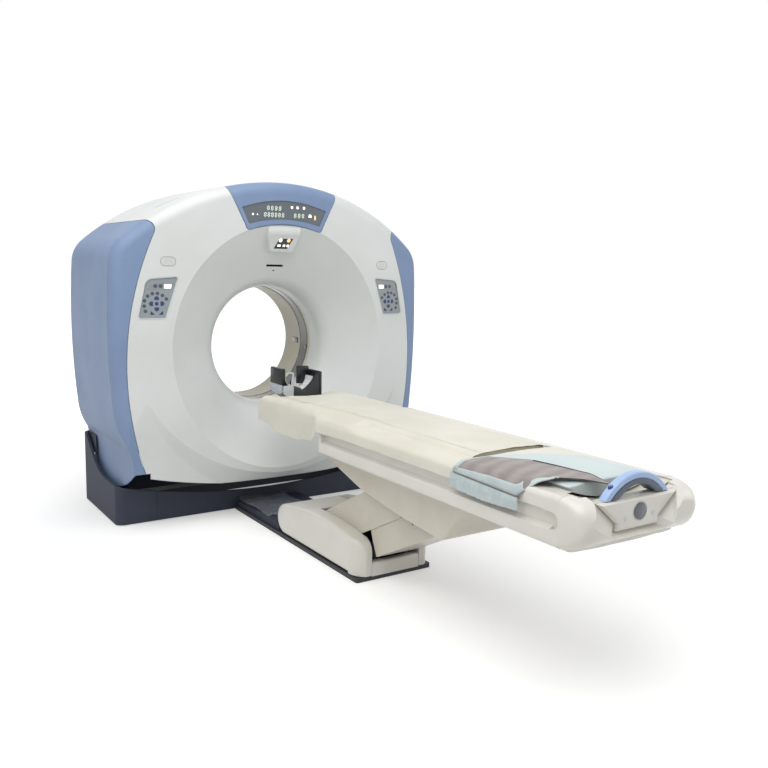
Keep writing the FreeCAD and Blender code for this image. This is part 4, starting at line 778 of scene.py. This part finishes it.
@dataclass
class GantryDetails:
    """Small pieces on the gantry's covers and in the bore."""

    lens_front: float = -489.6
    lens_slope: float = (489.6 - 456.1) / (1634 - 1564)

    def on_lens(self, name: str, finish: Finish, outlines: list[Outline]) -> None:
        """Put lit marks on the sloping pane of the hood."""
        mesh = bmesh.new()
        for outline in outlines:
            for vert in prism(mesh, outline, -1.2, 0.5):
                vert.co.y += (self.lens_front + (1634 - vert.co.z / MM) * self.lens_slope) * MM
        add_piece(name, mesh, "gantry", finish, None)

    def build(self) -> None:
        """Build the lights, the black sheet that paints the shade in the laser slot, ring trims with a thin
        black ring of painted shade, button marks and wall sensors.
        """
        self.on_lens("hood_white_lights", GLOW_WHITE, [circle(-16, 1619, 11), oblong(12, 1589, 15, 13, 2),
                                                       oblong(36, 1589, 15, 13, 2),
                                                       oblong(-20, 1589, 20, 12, 2)])
        self.on_lens("hood_amber_light", GLOW_AMBER, [circle(36, 1619, 11)])
        # The black sheets in the laser slot are painted shade.
        add_blocks("laser_slot_painted_shade", "gantry", BLACK_PAINTED_SHADE,
                   ((oblong(0, 1474, 118, 20, 4), -345, -338), (circle(0, 1445, 8), -345, -338)), None)
        for tag, side in (("left", -1.0), ("right", 1.0)):
            mesh = bmesh.new()
            follow_front(band(mesh, circle(side * 683, 1487, 13, 28), 2.2, -0.6, 0.4), 0)
            add_piece(f"{tag}_oval_button_mark", mesh, f"{tag}_oval", BUTTON_MARK, None)
        ring("tunnel_front_trim", "gantry", RING_OLIVE,
             [(-139, 349.5), (-132, 349.5), (-132, 352), (-139, 352)])
        # A thin black ring that paints the shade in the gap at the bore's front edge.
        ring("tunnel_front_shade_line", "gantry", BLACK_PAINTED_SHADE,
             [(-131, 349.8), (-127, 349.8), (-127, 352), (-131, 352)])
        sensors = ((28, 991, 70, 34), (-115, 957, 16, 28))
        add_blocks("tunnel_wall_sensors", "gantry", DARK_GLASS,
                   [(oblong(*sensor, 5), 345.5, 349.5, 0.8, Axis.X) for sensor in sensors])


# ---------------------------------------------------------------- table


@dataclass
class FootEnd:
    """The table's round foot end with its notch, the bracket's bulging face and what is on it."""

    start: float = -3021
    steps: int = 14
    length: float = 120
    half: float = 290.6
    corner: float = 52
    foot: float = 585
    top: float = 761.5
    nose: float = 698
    face: float = -3110
    flare: float = -3090

    def section(self, depth: float) -> Outline:
        """Outline of the end at a distance from its start, from the front."""
        fall = math.sqrt(max(0.0, 1 - (depth / self.length) ** 2))
        past = max(0.0, depth - self.length + self.corner)
        half = self.half - self.corner + math.sqrt(max(0.0, self.corner ** 2 - past ** 2))
        top = self.nose + (self.top - self.nose) * fall
        foot = self.nose - 8 - (self.nose - 8 - self.foot) * fall ** 0.8
        radius = min(22 + 26 * depth / self.length, (top - foot) / 2 - 0.5)
        return oblong(0, (top + foot) / 2, 2 * half, top - foot, radius)

    def shell(self) -> bpy.types.Object:
        """Build the end with the seat for the bracket cut out."""
        mesh = bmesh.new()
        loops = []
        for step in range(self.steps + 1):
            depth = self.length * math.sin(math.pi / 2 * step / self.steps)
            verts = [mesh.verts.new(Axis.Y.at(x, z, self.start - depth)) for x, z in self.section(depth)]
            loops.append([mesh.edges.new(pair) for pair in zip(verts, verts[1:] + verts[:1])])
        for near, far in zip(loops, loops[1:]):
            bmesh.ops.bridge_loops(mesh, edges=near + far)
        bmesh.ops.contextual_create(mesh, geom=loops[0])
        bmesh.ops.contextual_create(mesh, geom=loops[-1])
        made = add_piece("table_foot_end", mesh, "table_top", TABLE_CREAM, 50)
        seat = bmesh.new()
        prism(seat, both_sides([(207, 800), (207, 748), (106, 665), (106, 633)]), -3300, -3000)
        bmesh.ops.bisect_plane(seat, geom=[*seat.verts, *seat.edges, *seat.faces],
                               plane_co=Axis.Y.at(0, 0, self.flare),
                               plane_no=(0, 1, 0))
        for vert in seat.verts:
            if vert.co.y < -3200 * MM:
                high = vert.co.z > 0.7
                vert.co += Axis.Y.at(math.copysign(90 if high else 290, vert.co.x), 0 if high else -170, 0)
        trough = bmesh.new()
        prism(trough, [(-236.5, 650), (236.5, 650), (236.5, 800), (-236.5, 800)], -3056, -2990)
        for tool in (seat, trough):
            self.cut(made, tool)
        return made

    def cut(self, made: bpy.types.Object, tool: bmesh.types.BMesh) -> None:
        """Take a tool's form out of a piece."""
        data = bpy.data.meshes.new("tool")
        bmesh.ops.recalc_face_normals(tool, faces=tool.faces)
        tool.to_mesh(data)
        tool.free()
        cutter = bpy.data.objects.new("tool", data)
        bpy.context.scene.collection.objects.link(cutter)
        notch = made.modifiers.new("notch", "BOOLEAN")
        notch.object, notch.operation, notch.solver = cutter, "DIFFERENCE", "EXACT"
        bpy.context.view_layer.update()
        made.data = bpy.data.meshes.new_from_object(made.evaluated_get(bpy.context.evaluated_depsgraph_get()))
        made.modifiers.clear()
        bpy.data.objects.remove(cutter)

    def trunk(self) -> None:
        """The table body up to the round end, from a copy of its CAD mesh.

        Known fault: the copy isn't merged before its normals are set, so some of its faces point inwards.
        """
        mesh = bmesh.new()
        mesh.from_mesh(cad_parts["table_body"].data)
        bmesh.ops.bisect_plane(mesh, geom=[*mesh.verts, *mesh.edges, *mesh.faces],
                               plane_co=Axis.Y.at(0, 0, self.start),
                               plane_no=(0, -1, 0), clear_outer=True)
        made = add_piece("table_body_trunk", mesh, "table_top", TABLE_CREAM, 30)
        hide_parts("table_body")
        keel = bmesh.new()
        plan = trace([(-236, -3015), (236, -3015), (236, -3035, 205, -3084), (110, -3092, 0, -3098),
                      (-110, -3092, -205, -3084), (-236, -3035)], 8)
        for vert in prism(keel, plan, 566, 612, 5, Axis.Z):
            if vert.co.z < 580 * MM:
                vert.co.z += 26 * MM * smoothstep(3015, 3098, -vert.co.y / MM)
        add_piece("table_foot_keel", keel, "table_top", TABLE_CREAM)

    def build(self) -> None:
        """Build the end, the bracket's face, its bolts and badge, and the grip's grey underside."""
        self.shell()
        self.trunk()
        mesh = bmesh.new()
        outline = both_sides([(196, 742), (103, 664), (103, 637)])
        prism(mesh, outline, self.face, -3080)
        front = [e for e in mesh.edges if all(v.co.y < (self.face + 1) * MM for v in e.verts)]
        bmesh.ops.bevel(mesh, geom=front, offset=14 * MM, segments=4, profile=0.5, affect="EDGES",
                        material=-1)
        add_piece("bracket_face", mesh, "cradle_carriage", TABLE_CREAM)
        add_blocks("bracket_bolts", "cradle_carriage", BUTTON,
                   [(circle(x, 680, 9), self.face - 1.5, self.face + 1, 0.6) for x in (-69, 69)])
        add_blocks("bracket_badge", "cradle_carriage", BADGE,
                   [(circle(0, 696, 29, 36), self.face - 1.6, self.face + 1, 0.5)])
        mesh = bmesh.new()
        band(mesh, circle(0, 696, 32, 36), 3, self.face - 2.2, self.face + 1)
        add_piece("bracket_badge_rim", mesh, "cradle_carriage", HOLDER_SILVER)
        inner = trace([(-131, 745, 0, 804), (131, 745), (95, 745, 0, 786), (-95, 745)], 20)
        add_blocks("handle_underside", "cradle_carriage", HANDLE_GREY, [(inner, -3099, -3042, 2)])


@dataclass
class Drape:
    """A sheet laid over sections that change along the table."""

    sections: tuple[tuple[float, tuple[tuple[float, float], ...]], ...]
    wrinkle: float = 4.5

    def line(self, y: float) -> list[Vector]:
        """The section at a place along the table, in millimetres."""
        pairs = list(zip(self.sections, self.sections[1:]))
        for (near, first), (far, second) in pairs:
            if far <= y:
                t = smoothstep(0, 1, (near - y) / (near - far))
                return [Vector(a).lerp(Vector(b), t) for a, b in zip(first, second)]
        return [Vector(p) for p in self.sections[-1][1]]

    def place(self, across: float, forward: float) -> Vector:
        """Where a point of the sheet lies, in metres."""
        head, foot = self.sections[0][0], self.sections[-1][0]
        y = head + (foot - head) * forward
        x, z = along(self.line(y), across)
        shoulder = smoothstep(0.42, 0.62, across) * (1 - smoothstep(0.72, 0.8, across))
        calm = smoothstep(-2000, -1700, y)
        slanted = noise.noise(Vector((x * 0.018 + y * 0.012, y * 0.003 - x * 0.004, 3.1)))
        fine = noise.noise(Vector((x * 0.05, y * 0.011, 7.7)))
        rise = self.wrinkle * (shoulder * calm * (1 - 2.2 * abs(slanted)) + 0.35 * fine)
        z += max(rise, -0.6)
        if across > 0.78:
            x += -2.0 - 3.5 * noise.noise(Vector((0.0, y * 0.012, z * 0.01))) * smoothstep(0.78, 1.0, across)
        if y > head - 70:
            notch = 0.8 * smoothstep(0.5, 0.7, across) * (1 - smoothstep(0.7, 0.86, across))
            y += 34 * smoothstep(head - 70, head, y) * (smoothstep(0.74, 1.0, across) - notch)
        return Vector((x, y, z)) * MM


@dataclass
class SoftGoods:
    """Cover, mattress, foot pad, quilted strap and the pads of the head holder."""

    quilt_left: float = -304
    split: float = 0.655
    overlap: float = 0.012

    def cover(self) -> None:
        """The vinyl cover: over the mattress, and hanging on the left side."""
        crown = ((212, 768), (150, 787), (0, 792), (-150, 788))
        sheet = Drape((
            (-692, ((222, 760), (150, 742), (0, 726), (-150, 742), (-212, 760), (-232, 757), (-240, 744),
                    (-242, 690), (-241, 622))),
            (-770, ((218, 761), (150, 745), (0, 730), (-150, 746), (-210, 763), (-232, 758), (-241, 744),
                    (-243, 690), (-241, 620))),
            (-880, ((214, 766), (150, 770), (0, 766), (-150, 774), (-206, 774), (-233, 762), (-243, 745),
                    (-244, 690), (-241, 590))),
            (-1000, (*crown, (-205, 782), (-234, 764), (-244, 745), (-245, 690), (-241, 588))),
            (-1130, (*crown, (-205, 782), (-234, 764), (-244, 745), (-245, 690), (-242, 592))),
            (-1210, (*crown, (-206, 783), (-235, 765), (-245, 746), (-246, 690), (-244, 606))),
            (-1300, (*crown, (-206, 785), (-238, 768), (-249, 748), (-252, 690), (-250, 618))),
            (-1362, (*crown, (-207, 787), (-248, 771), (-268, 755), (-276, 700), (-276, 650))),
            (-1425, (*crown, (-207, 789), (-262, 772), (-289, 762), (-299, 738), (-299, 690))),
            (-1700, (*crown, (-206, 789), (-262, 770), (-287, 763.5), (-297, 742), (-297, 697))),
            (-1780, (*crown, (-205, 787), (-214, 769), (-272, 765.5), (-296, 745), (-297, 697))),
            (-2430, (*crown, (-205, 785), (-214, 769), (-272, 765.5), (-296, 745), (-297, 697))),
            (-2486, ((212, 763), (150, 785), (0, 790), (-150, 785), (-205, 777.5), (-214, 767.5), (-272, 765),
                     (-295.5, 745), (-296.5, 697))),
        ))
        # The part over the mattress travels with the cradle, and the part over the rail stays on the table.
        mesh = bmesh.new()
        lay_grid(mesh, 34, 150, lambda a, b: sheet.place(a * (self.split + self.overlap), b))
        made = add_piece("vinyl_cover_sheet", mesh, "cradle_carriage", VINYL, 180)
        thicken(made, 1.2, 1)
        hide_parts("mattress_cover")

        def flap_point(a: float, b: float) -> Vector:
            """Where a point of the flap lies; its upper edge tucks under the sheet."""
            tuck = Vector((0, 0, 1.6 * MM * (1 - smoothstep(0, 0.1, a))))
            return sheet.place(self.split + (1 - self.split) * a, b) - tuck

        mesh = bmesh.new()
        lay_grid(mesh, 18, 150, flap_point)
        flap = add_piece("vinyl_side_flap", mesh, "table_top", VINYL, 180)
        thicken(flap, 1.2, 1)

    def cushion(self, name: str, node: str, finish: Finish, head: float, foot: float, top: float,
                taper: float) -> None:
        """A crowned pad in the cradle's hollow.

        Args:
            name: the piece's name.
            node: the CAD node that it stands for.
            finish: its cover.
            head: its head end along Y, in millimetres.
            foot: its foot end.
            top: the height of its crown.
            taper: how far from its head end it reaches its full height.
        """
        mesh = bmesh.new()
        bmesh.ops.create_cube(mesh, size=2)
        bmesh.ops.subdivide_edges(mesh, edges=mesh.edges[:], cuts=11, use_grid_fill=True)
        for vert in mesh.verts:
            a, b, c = vert.co
            seam = 1 - 0.03 * max(0.0, abs(c) - 0.6) / 0.4
            x = a * 204 * (seam if c > 0 else 0.955)
            upper = top - 9 * a * a - 5 * smoothstep(0.86, 1.0, abs(b)) - 3 * smoothstep(0.9, 1.0, abs(a))
            lower = 717 + 43.5 * (x / 204) ** 2
            y = (head + foot) / 2 + b * (head - foot) / 2
            rise = smoothstep(0, taper, head - y)
            height = 9 + (upper - lower - 9) * rise
            vert.co = Vector((x, y, lower + height * (c + 1) / 2)) * MM
        made = add_piece(name, mesh, "cradle_carriage", finish, 60)
        round_off = made.modifiers.new("rounding", "SUBSURF")
        round_off.levels = round_off.render_levels = 1
        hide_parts(node)

    def quilt_point(self, s: float, t: float) -> Vector:
        """Where a point of the quilted strap lies, from its left edge to its tail, and from top to rail."""
        top = along([Vector(p) for p in ((-207, -2562), (-150, -2622), (-99, -2673), (-80, -2760),
                                         (-64, -2868),
                                         (-60, -2950), (-66, -3034))], s)
        low = [(0.0, -305, -2488, 731), (0.5, -305, -2840, 719), (0.62, -262, -2896, 774),
               (0.7, -214, -2925, 789),
               (0.85, -150, -2975, 789), (1.0, -88, -3046, 781)]
        for (s0, *first), (s1, *second) in zip(low, low[1:]):
            if s <= s1:
                base = Vector(first).lerp(Vector(second), (s - s0) / (s1 - s0))
                break
        knots = [(x, z) for x,
                 z in ((-205, 790), (-250, 783), (-286, 774), (-302, 758)) if base.x + 2 < x < top.x - 2]
        crest = 789 - 10 * smoothstep(0.8, 1.0, s)
        x, z = along([Vector((top.x, crest)), *[Vector(k) for k in knots], Vector((base.x, base.z))], t)
        y = top.y + (base.y - top.y) * t
        crumple = 1.3 * noise.noise(Vector((x * 0.02, y * 0.014, 1.7)))
        return Vector((x, y, z + 1.5 + crumple)) * MM

    def strip(self, name: str, finish: Finish, spans: Sequence[tuple[float, float, float, float]],
              lift: float) -> None:
        """Bands sewn along the strap's edges, each from two places along and two across."""
        mesh = bmesh.new()
        outward = Vector((-0.6, 0, 0.8)) * lift * MM
        for s0, s1, t0, t1 in spans:
            lay_grid(mesh, max(2, round((t1 - t0) * 24)), max(2, round((s1 - s0) * 60)),
                     lambda a, b: self.quilt_point(s0 + (s1 - s0) * b, t0 + (t1 - t0) * a) + outward)
        made = add_piece(name, mesh, "cradle_carriage", finish, 180)
        thicken(made, 1.4, 0)

    def strap(self) -> None:
        """The quilted strap, its pale and black edges and the gathered skirt under it."""
        mesh = bmesh.new()
        lay_grid(mesh, 26, 64, lambda a, b: self.quilt_point(b, a))
        made = add_piece("quilted_strap_panel", mesh, "cradle_carriage", QUILT, 180)
        thicken(made, 3.0, 1)
        self.strip("strap_pale_border", QUILT_BORDER, ((0.0, 0.72, 0.86, 0.995), (0.0, 0.035, 0.0, 0.99)),
                   3.0)
        self.strip("strap_black_edges", EDGE_BLACK, ((0.35, 1.0, -0.0, 0.045), (0.7, 1.0, 0.93, 1.0)), 3.2)
        mesh = bmesh.new()
        lay_grid(mesh, 96, 8, self.skirt_point)
        skirt = add_piece("strap_gathered_skirt", mesh, "cradle_carriage", QUILT_BORDER, 180)
        thicken(skirt, 1.2, 1)
        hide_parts("quilted_strap")

    def skirt_point(self, a: float, b: float) -> Vector:
        """Where a point of the gathered skirt hangs, from its left end and from its top."""
        y = -2474 - a * 370
        top = 729 - 11 * a
        hem = 672 - 9 * math.sin(math.pi * a) + 3 * noise.noise(Vector((a * 9, 0, 0)))
        depth = 0.4 + 0.6 * abs(noise.noise(Vector((a * 11, 5, 0)))) * 2
        pleat = math.sin(a * 84 + 2.2 * noise.noise(Vector((a * 6, 1.3, 0)))) * depth
        swell = 2.4 * math.sin(math.pi * min(b * 1.3, 1))
        x = self.quilt_left - 1.5 - swell + pleat * 2.6 * smoothstep(0, 0.35, b)
        return Vector((min(x, -299.5), y - 2 * pleat * b, top + (hem - top) * b)) * MM

    def head_pad(self) -> None:
        """The padded half ring in the head holder."""
        mesh = bmesh.new()
        start = [mesh.verts.new(Axis.X.at(y, 850 - r, 0)) for y, r in oblong(-632, 87.5, 98, 15, 6)]
        face = mesh.faces.new(start)
        bmesh.ops.rotate(mesh, verts=start, cent=Axis.X.at(-632, 850, 0),
                         matrix=Matrix.Rotation(math.radians(-88), 3, "Y"))
        bmesh.ops.spin(mesh, geom=[face, *face.edges, *start], cent=Axis.X.at(-632, 850, 0), axis=(0, 1, 0),
                       angle=math.radians(176), steps=32)
        made = add_piece("head_pad_cushion", mesh, "cradle_carriage", PAD_WHITE, 60)
        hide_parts("head_pad")

    def build(self) -> None:
        """Build all soft pieces."""
        self.cushion("mattress_pad", "mattress", VINYL, -720, -2463, 788, 270)
        self.cushion("foot_cushion", "foot_pad", FOOT_VINYL, -2466, -2985, 790, 0.1)
        lip = [(-237, 757), (-202, 757), (-202, 760), (-237, 759)]
        add_blocks("cradle_left_lip", "cradle_carriage", CRADLE, [(lip, -2992, -2462, 0.6)])
        self.cover()
        self.strap()
        self.head_pad()


@dataclass
class HeadHolder:
    """The black holder for the head: wings, cup plate, silver band and the tray under it."""

    cup: float = 850

    def build(self) -> None:
        """Build the holder's pieces in place of the plain solid."""
        mesh = bmesh.new()
        wing = trace([(-567, 812), (-567, 892, -570, 902), (-580, 904), (-702, 904, -711, 901), (-712, 890),
                      (-712, 812)], 5)
        prism(mesh, wing, -124, -100, 3.5, Axis.X)
        prism(mesh, trace([(27, 800), (103, 800), (103, 884, 101, 897), (92, 900), (27, 904)], 5), -612, -592,
              3)
        half = trace([(112, 872), (96, 868, 20, 791), (-13, 794, -62, 812), (-70, 830), (-76, 724), (0, 716),
                      (110, 722)], 10)
        prism(mesh, half, -735, -713, 3)
        prism(mesh, trace([(101, 722), (101, 873, 106, 881), (112, 881, 120, 879), (121, 868), (121, 722)],
                          5), -735, -600, 3)
        arch = trace([(-112, 850, 0, 738), (112, 850), (97, 850, 0, 753), (-97, 850)], 24)
        prism(mesh, arch, -688, -576, 1.5)
        tray = trace([(-116, 772, 0, 706), (116, 772), (108, 776, 0, 714), (-108, 776)], 14)
        prism(mesh, tray, -690, -567, 1)
        prism(mesh, oblong(0, 730, 80, 34, 6), -680, -590, 1)
        made = add_piece("head_holder_moulding", mesh, "cradle_carriage", HOLDER)
        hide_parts("head_holder")
        mesh = bmesh.new()
        prism(mesh, trace([(-720, 768, -640, 758), (-567, 778), (-567, 810), (-720, 812)], 8), -127, -121,
              1.5, Axis.X)
        front = trace([(-127, 768, -100, 752), (-64, 748), (-60, 868, -66, 884), (-84, 887, -104, 884),
                       (-110, 866),
                       (-101, 868, -96, 878), (-86, 878, -74, 876), (-72, 862), (-80, 812), (-127, 812)], 6)
        prism(mesh, front, -743, -737, 1.2)
        add_piece("head_holder_silver_band", mesh, "cradle_carriage", HOLDER_SILVER)


@dataclass
class BaseDetails:
    """What lies on and round the base: gaps in shade, pedal lines and the clear film."""

    pedal_top: float = 66.2

    def film_point(self, a: float, b: float) -> Vector:
        """Where a point of the crumpled film lies."""
        x, y = -205 + 300 * a, -250 - 470 * b
        broad = abs(noise.noise(Vector((x * 0.021, y * 0.017, 2.0))))
        sharp = broad + 0.5 * abs(noise.noise(Vector((x * 0.05, y * 0.043, 5.0))))
        return Vector((x + 9 * math.sin(y * 0.02), y, self.pedal_top + 2 + 17 * sharp)) * MM

    def build(self) -> None:
        """Build the dark panel that paints the shade in the gap beside the column, the dark lines that paint
        the shade in the pedal gaps, and the film.
        """
        # Dark lines that paint the shade in the gaps round the pedals.
        mesh = bmesh.new()
        for ends in (((2, -307), (-35, -461), (-7, -552)), ((-146, -472), (-124, -681))):
            for (x0, y0), (x1, y1) in zip(ends, ends[1:]):
                prism(mesh, [(x0, y0), (x0 + 5, y0), (x1 + 5, y1), (x1, y1)], self.pedal_top - 1,
                      self.pedal_top, 0, Axis.Z)
        add_piece("pedal_gap_shade_lines", mesh, "base", SEAM_SHADE, None)
        # A dark panel in the gap beside the column paints the shade there.
        lining = [(232, 318), (425, 318), (425, 432), (232, 432)]
        add_blocks("column_gap_painted_shade", "base", BASE_DARK, [(lining, -903, -900, 0, Axis.X)], None)
        mesh = bmesh.new()
        lay_grid(mesh, 44, 66, self.film_point)
        film = add_piece("pedal_film", mesh, "base", CLEAR_FILM, 40)
        thicken(film, 0.3, 0)


# ---------------------------------------------------------------- studio


@dataclass
class Studio:
    """Floor, lights and the camera at the photograph's place."""

    camera_at: tuple[float, float, float] = (-2.21696, -4.87954, 1.49237)
    yaw: float = 33.72
    pitch: float = -8.13
    roll: float = 1.10
    focal_pixels: float = 836.16
    ambient: float = 0.40
    lamps: tuple[tuple[str, tuple[float, float, float], tuple[float, float, float], float, float], ...] = (
        ("ceiling_light", (-1.5, -2.5, 4.6), (0.0, -1.2, 0.6), 5.0, 178.0),
        ("left_light", (-5.5, -3.0, 2.6), (0.0, -0.8, 0.9), 3.4, 16.0),
        ("right_light", (4.8, -4.6, 2.8), (0.0, -0.8, 0.8), 3.2, 52.0),
    )

    def camera(self) -> None:
        """Place the camera and give it the photograph's focal length."""
        yaw, pitch, roll = (math.radians(a) for a in (self.yaw, self.pitch, self.roll))
        ahead = Vector((math.sin(yaw) * math.cos(pitch), math.cos(yaw) * math.cos(pitch), math.sin(pitch)))
        across = Vector((math.cos(yaw), -math.sin(yaw), 0))
        upward = across.cross(ahead)
        right = across * math.cos(roll) + upward * math.sin(roll)
        top = -across * math.sin(roll) + upward * math.cos(roll)
        data = bpy.data.cameras.new("camera")
        data.sensor_width = 36.0
        data.lens = data.sensor_width * self.focal_pixels / PHOTO_WIDTH
        data.clip_end = 100
        made = bpy.data.objects.new("camera", data)
        made.matrix_world = Matrix.Translation(self.camera_at) @ Matrix((right, top,
                                                                         -ahead)).transposed().to_4x4()
        bpy.context.scene.collection.objects.link(made)
        bpy.context.scene.camera = made

    def build(self) -> None:
        """Build floor, world, lights and camera."""
        mesh = bmesh.new()
        bmesh.ops.create_grid(mesh, x_segments=1, y_segments=1, size=40)
        data = bpy.data.meshes.new("floor")
        mesh.to_mesh(data)
        mesh.free()
        floor = bpy.data.objects.new("floor", data)
        bpy.context.scene.collection.objects.link(floor)
        floor.data.materials.append(self.floor_material())
        self.world()
        for name, place, target, size, power in self.lamps:
            lamp = bpy.data.lights.new(name, "AREA")
            lamp.size = size
            lamp.energy = power
            made = bpy.data.objects.new(name, lamp)
            heading = (Vector(target) - Vector(place)).to_track_quat("-Z", "Y")
            made.matrix_world = Matrix.Translation(place) @ heading.to_matrix().to_4x4()
            bpy.context.scene.collection.objects.link(made)
        self.camera()
        bpy.context.scene.view_settings.view_transform = "Standard"

    def seen(self, tree: bpy.types.NodeTree) -> bpy.types.NodeSocket:
        """1 for rays from the camera, also by way of gloss and clear film."""
        path = add_node(tree, "LightPath", {}, {})
        first = add_node(tree, "Math", {"operation": "MAXIMUM"},
                         {0: path.outputs["Is Camera Ray"], 1: path.outputs["Is Transmission Ray"]})
        return add_node(tree, "Math", {"operation": "MAXIMUM"},
                        {0: first.outputs[0], 1: path.outputs["Is Glossy Ray"]}).outputs[0]

    def floor_material(self) -> bpy.types.Material:
        """A white floor that keeps the object's soft shadow and fades into the white surround."""
        made = bpy.data.materials.new("white_studio_floor")
        made.use_nodes = True
        tree = made.node_tree
        shader = tree.nodes["Principled BSDF"]
        shader.inputs["Base Color"].default_value = linear("#E6E6E5")
        shader.inputs["Roughness"].default_value = 0.9
        shader.inputs["Specular IOR Level"].default_value = 0.0
        place = add_node(tree, "TexCoord", {}, {}).outputs["Object"]
        centre = Vector((0, -1.2, 0))
        distance = add_node(tree, "VectorMath", {"operation": "DISTANCE", 1: centre},
                            {0: place}).outputs["Value"]
        level = add_node(tree, "MapRange", {"From Min": 1.6, "From Max": 4.6, "To Min": 0.34, "To Max": 1.0},
                         {"Value": distance}).outputs["Result"]
        glow = add_node(tree, "Math", {"operation": "MULTIPLY"}, {0: level, 1: self.seen(tree)}).outputs[0]
        shader.inputs["Emission Color"].default_value = (1, 1, 1, 1)
        tree.links.new(glow, shader.inputs["Emission Strength"])
        return made

    def world(self) -> None:
        """An even pale surround, white to the camera."""
        world = bpy.data.worlds.new("studio")
        bpy.context.scene.world = world
        world.use_nodes = True
        tree = world.node_tree
        back = tree.nodes["Background"]
        level = add_node(tree, "MapRange", {"To Min": self.ambient, "To Max": 1.0},
                         {"Value": self.seen(tree)})
        back.inputs["Color"].default_value = (1, 1, 1, 1)
        tree.links.new(level.outputs["Result"], back.inputs["Strength"])


def main() -> None:
    """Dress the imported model, add its looks-only pieces and light it."""
    dress_nodes()
    for part in (Display(), Keypads(), GantryDetails(), FootEnd(), HeadHolder(), SoftGoods(), BaseDetails(),
                 Studio()):
        part.build()


if __name__ == "__main__":
    main()
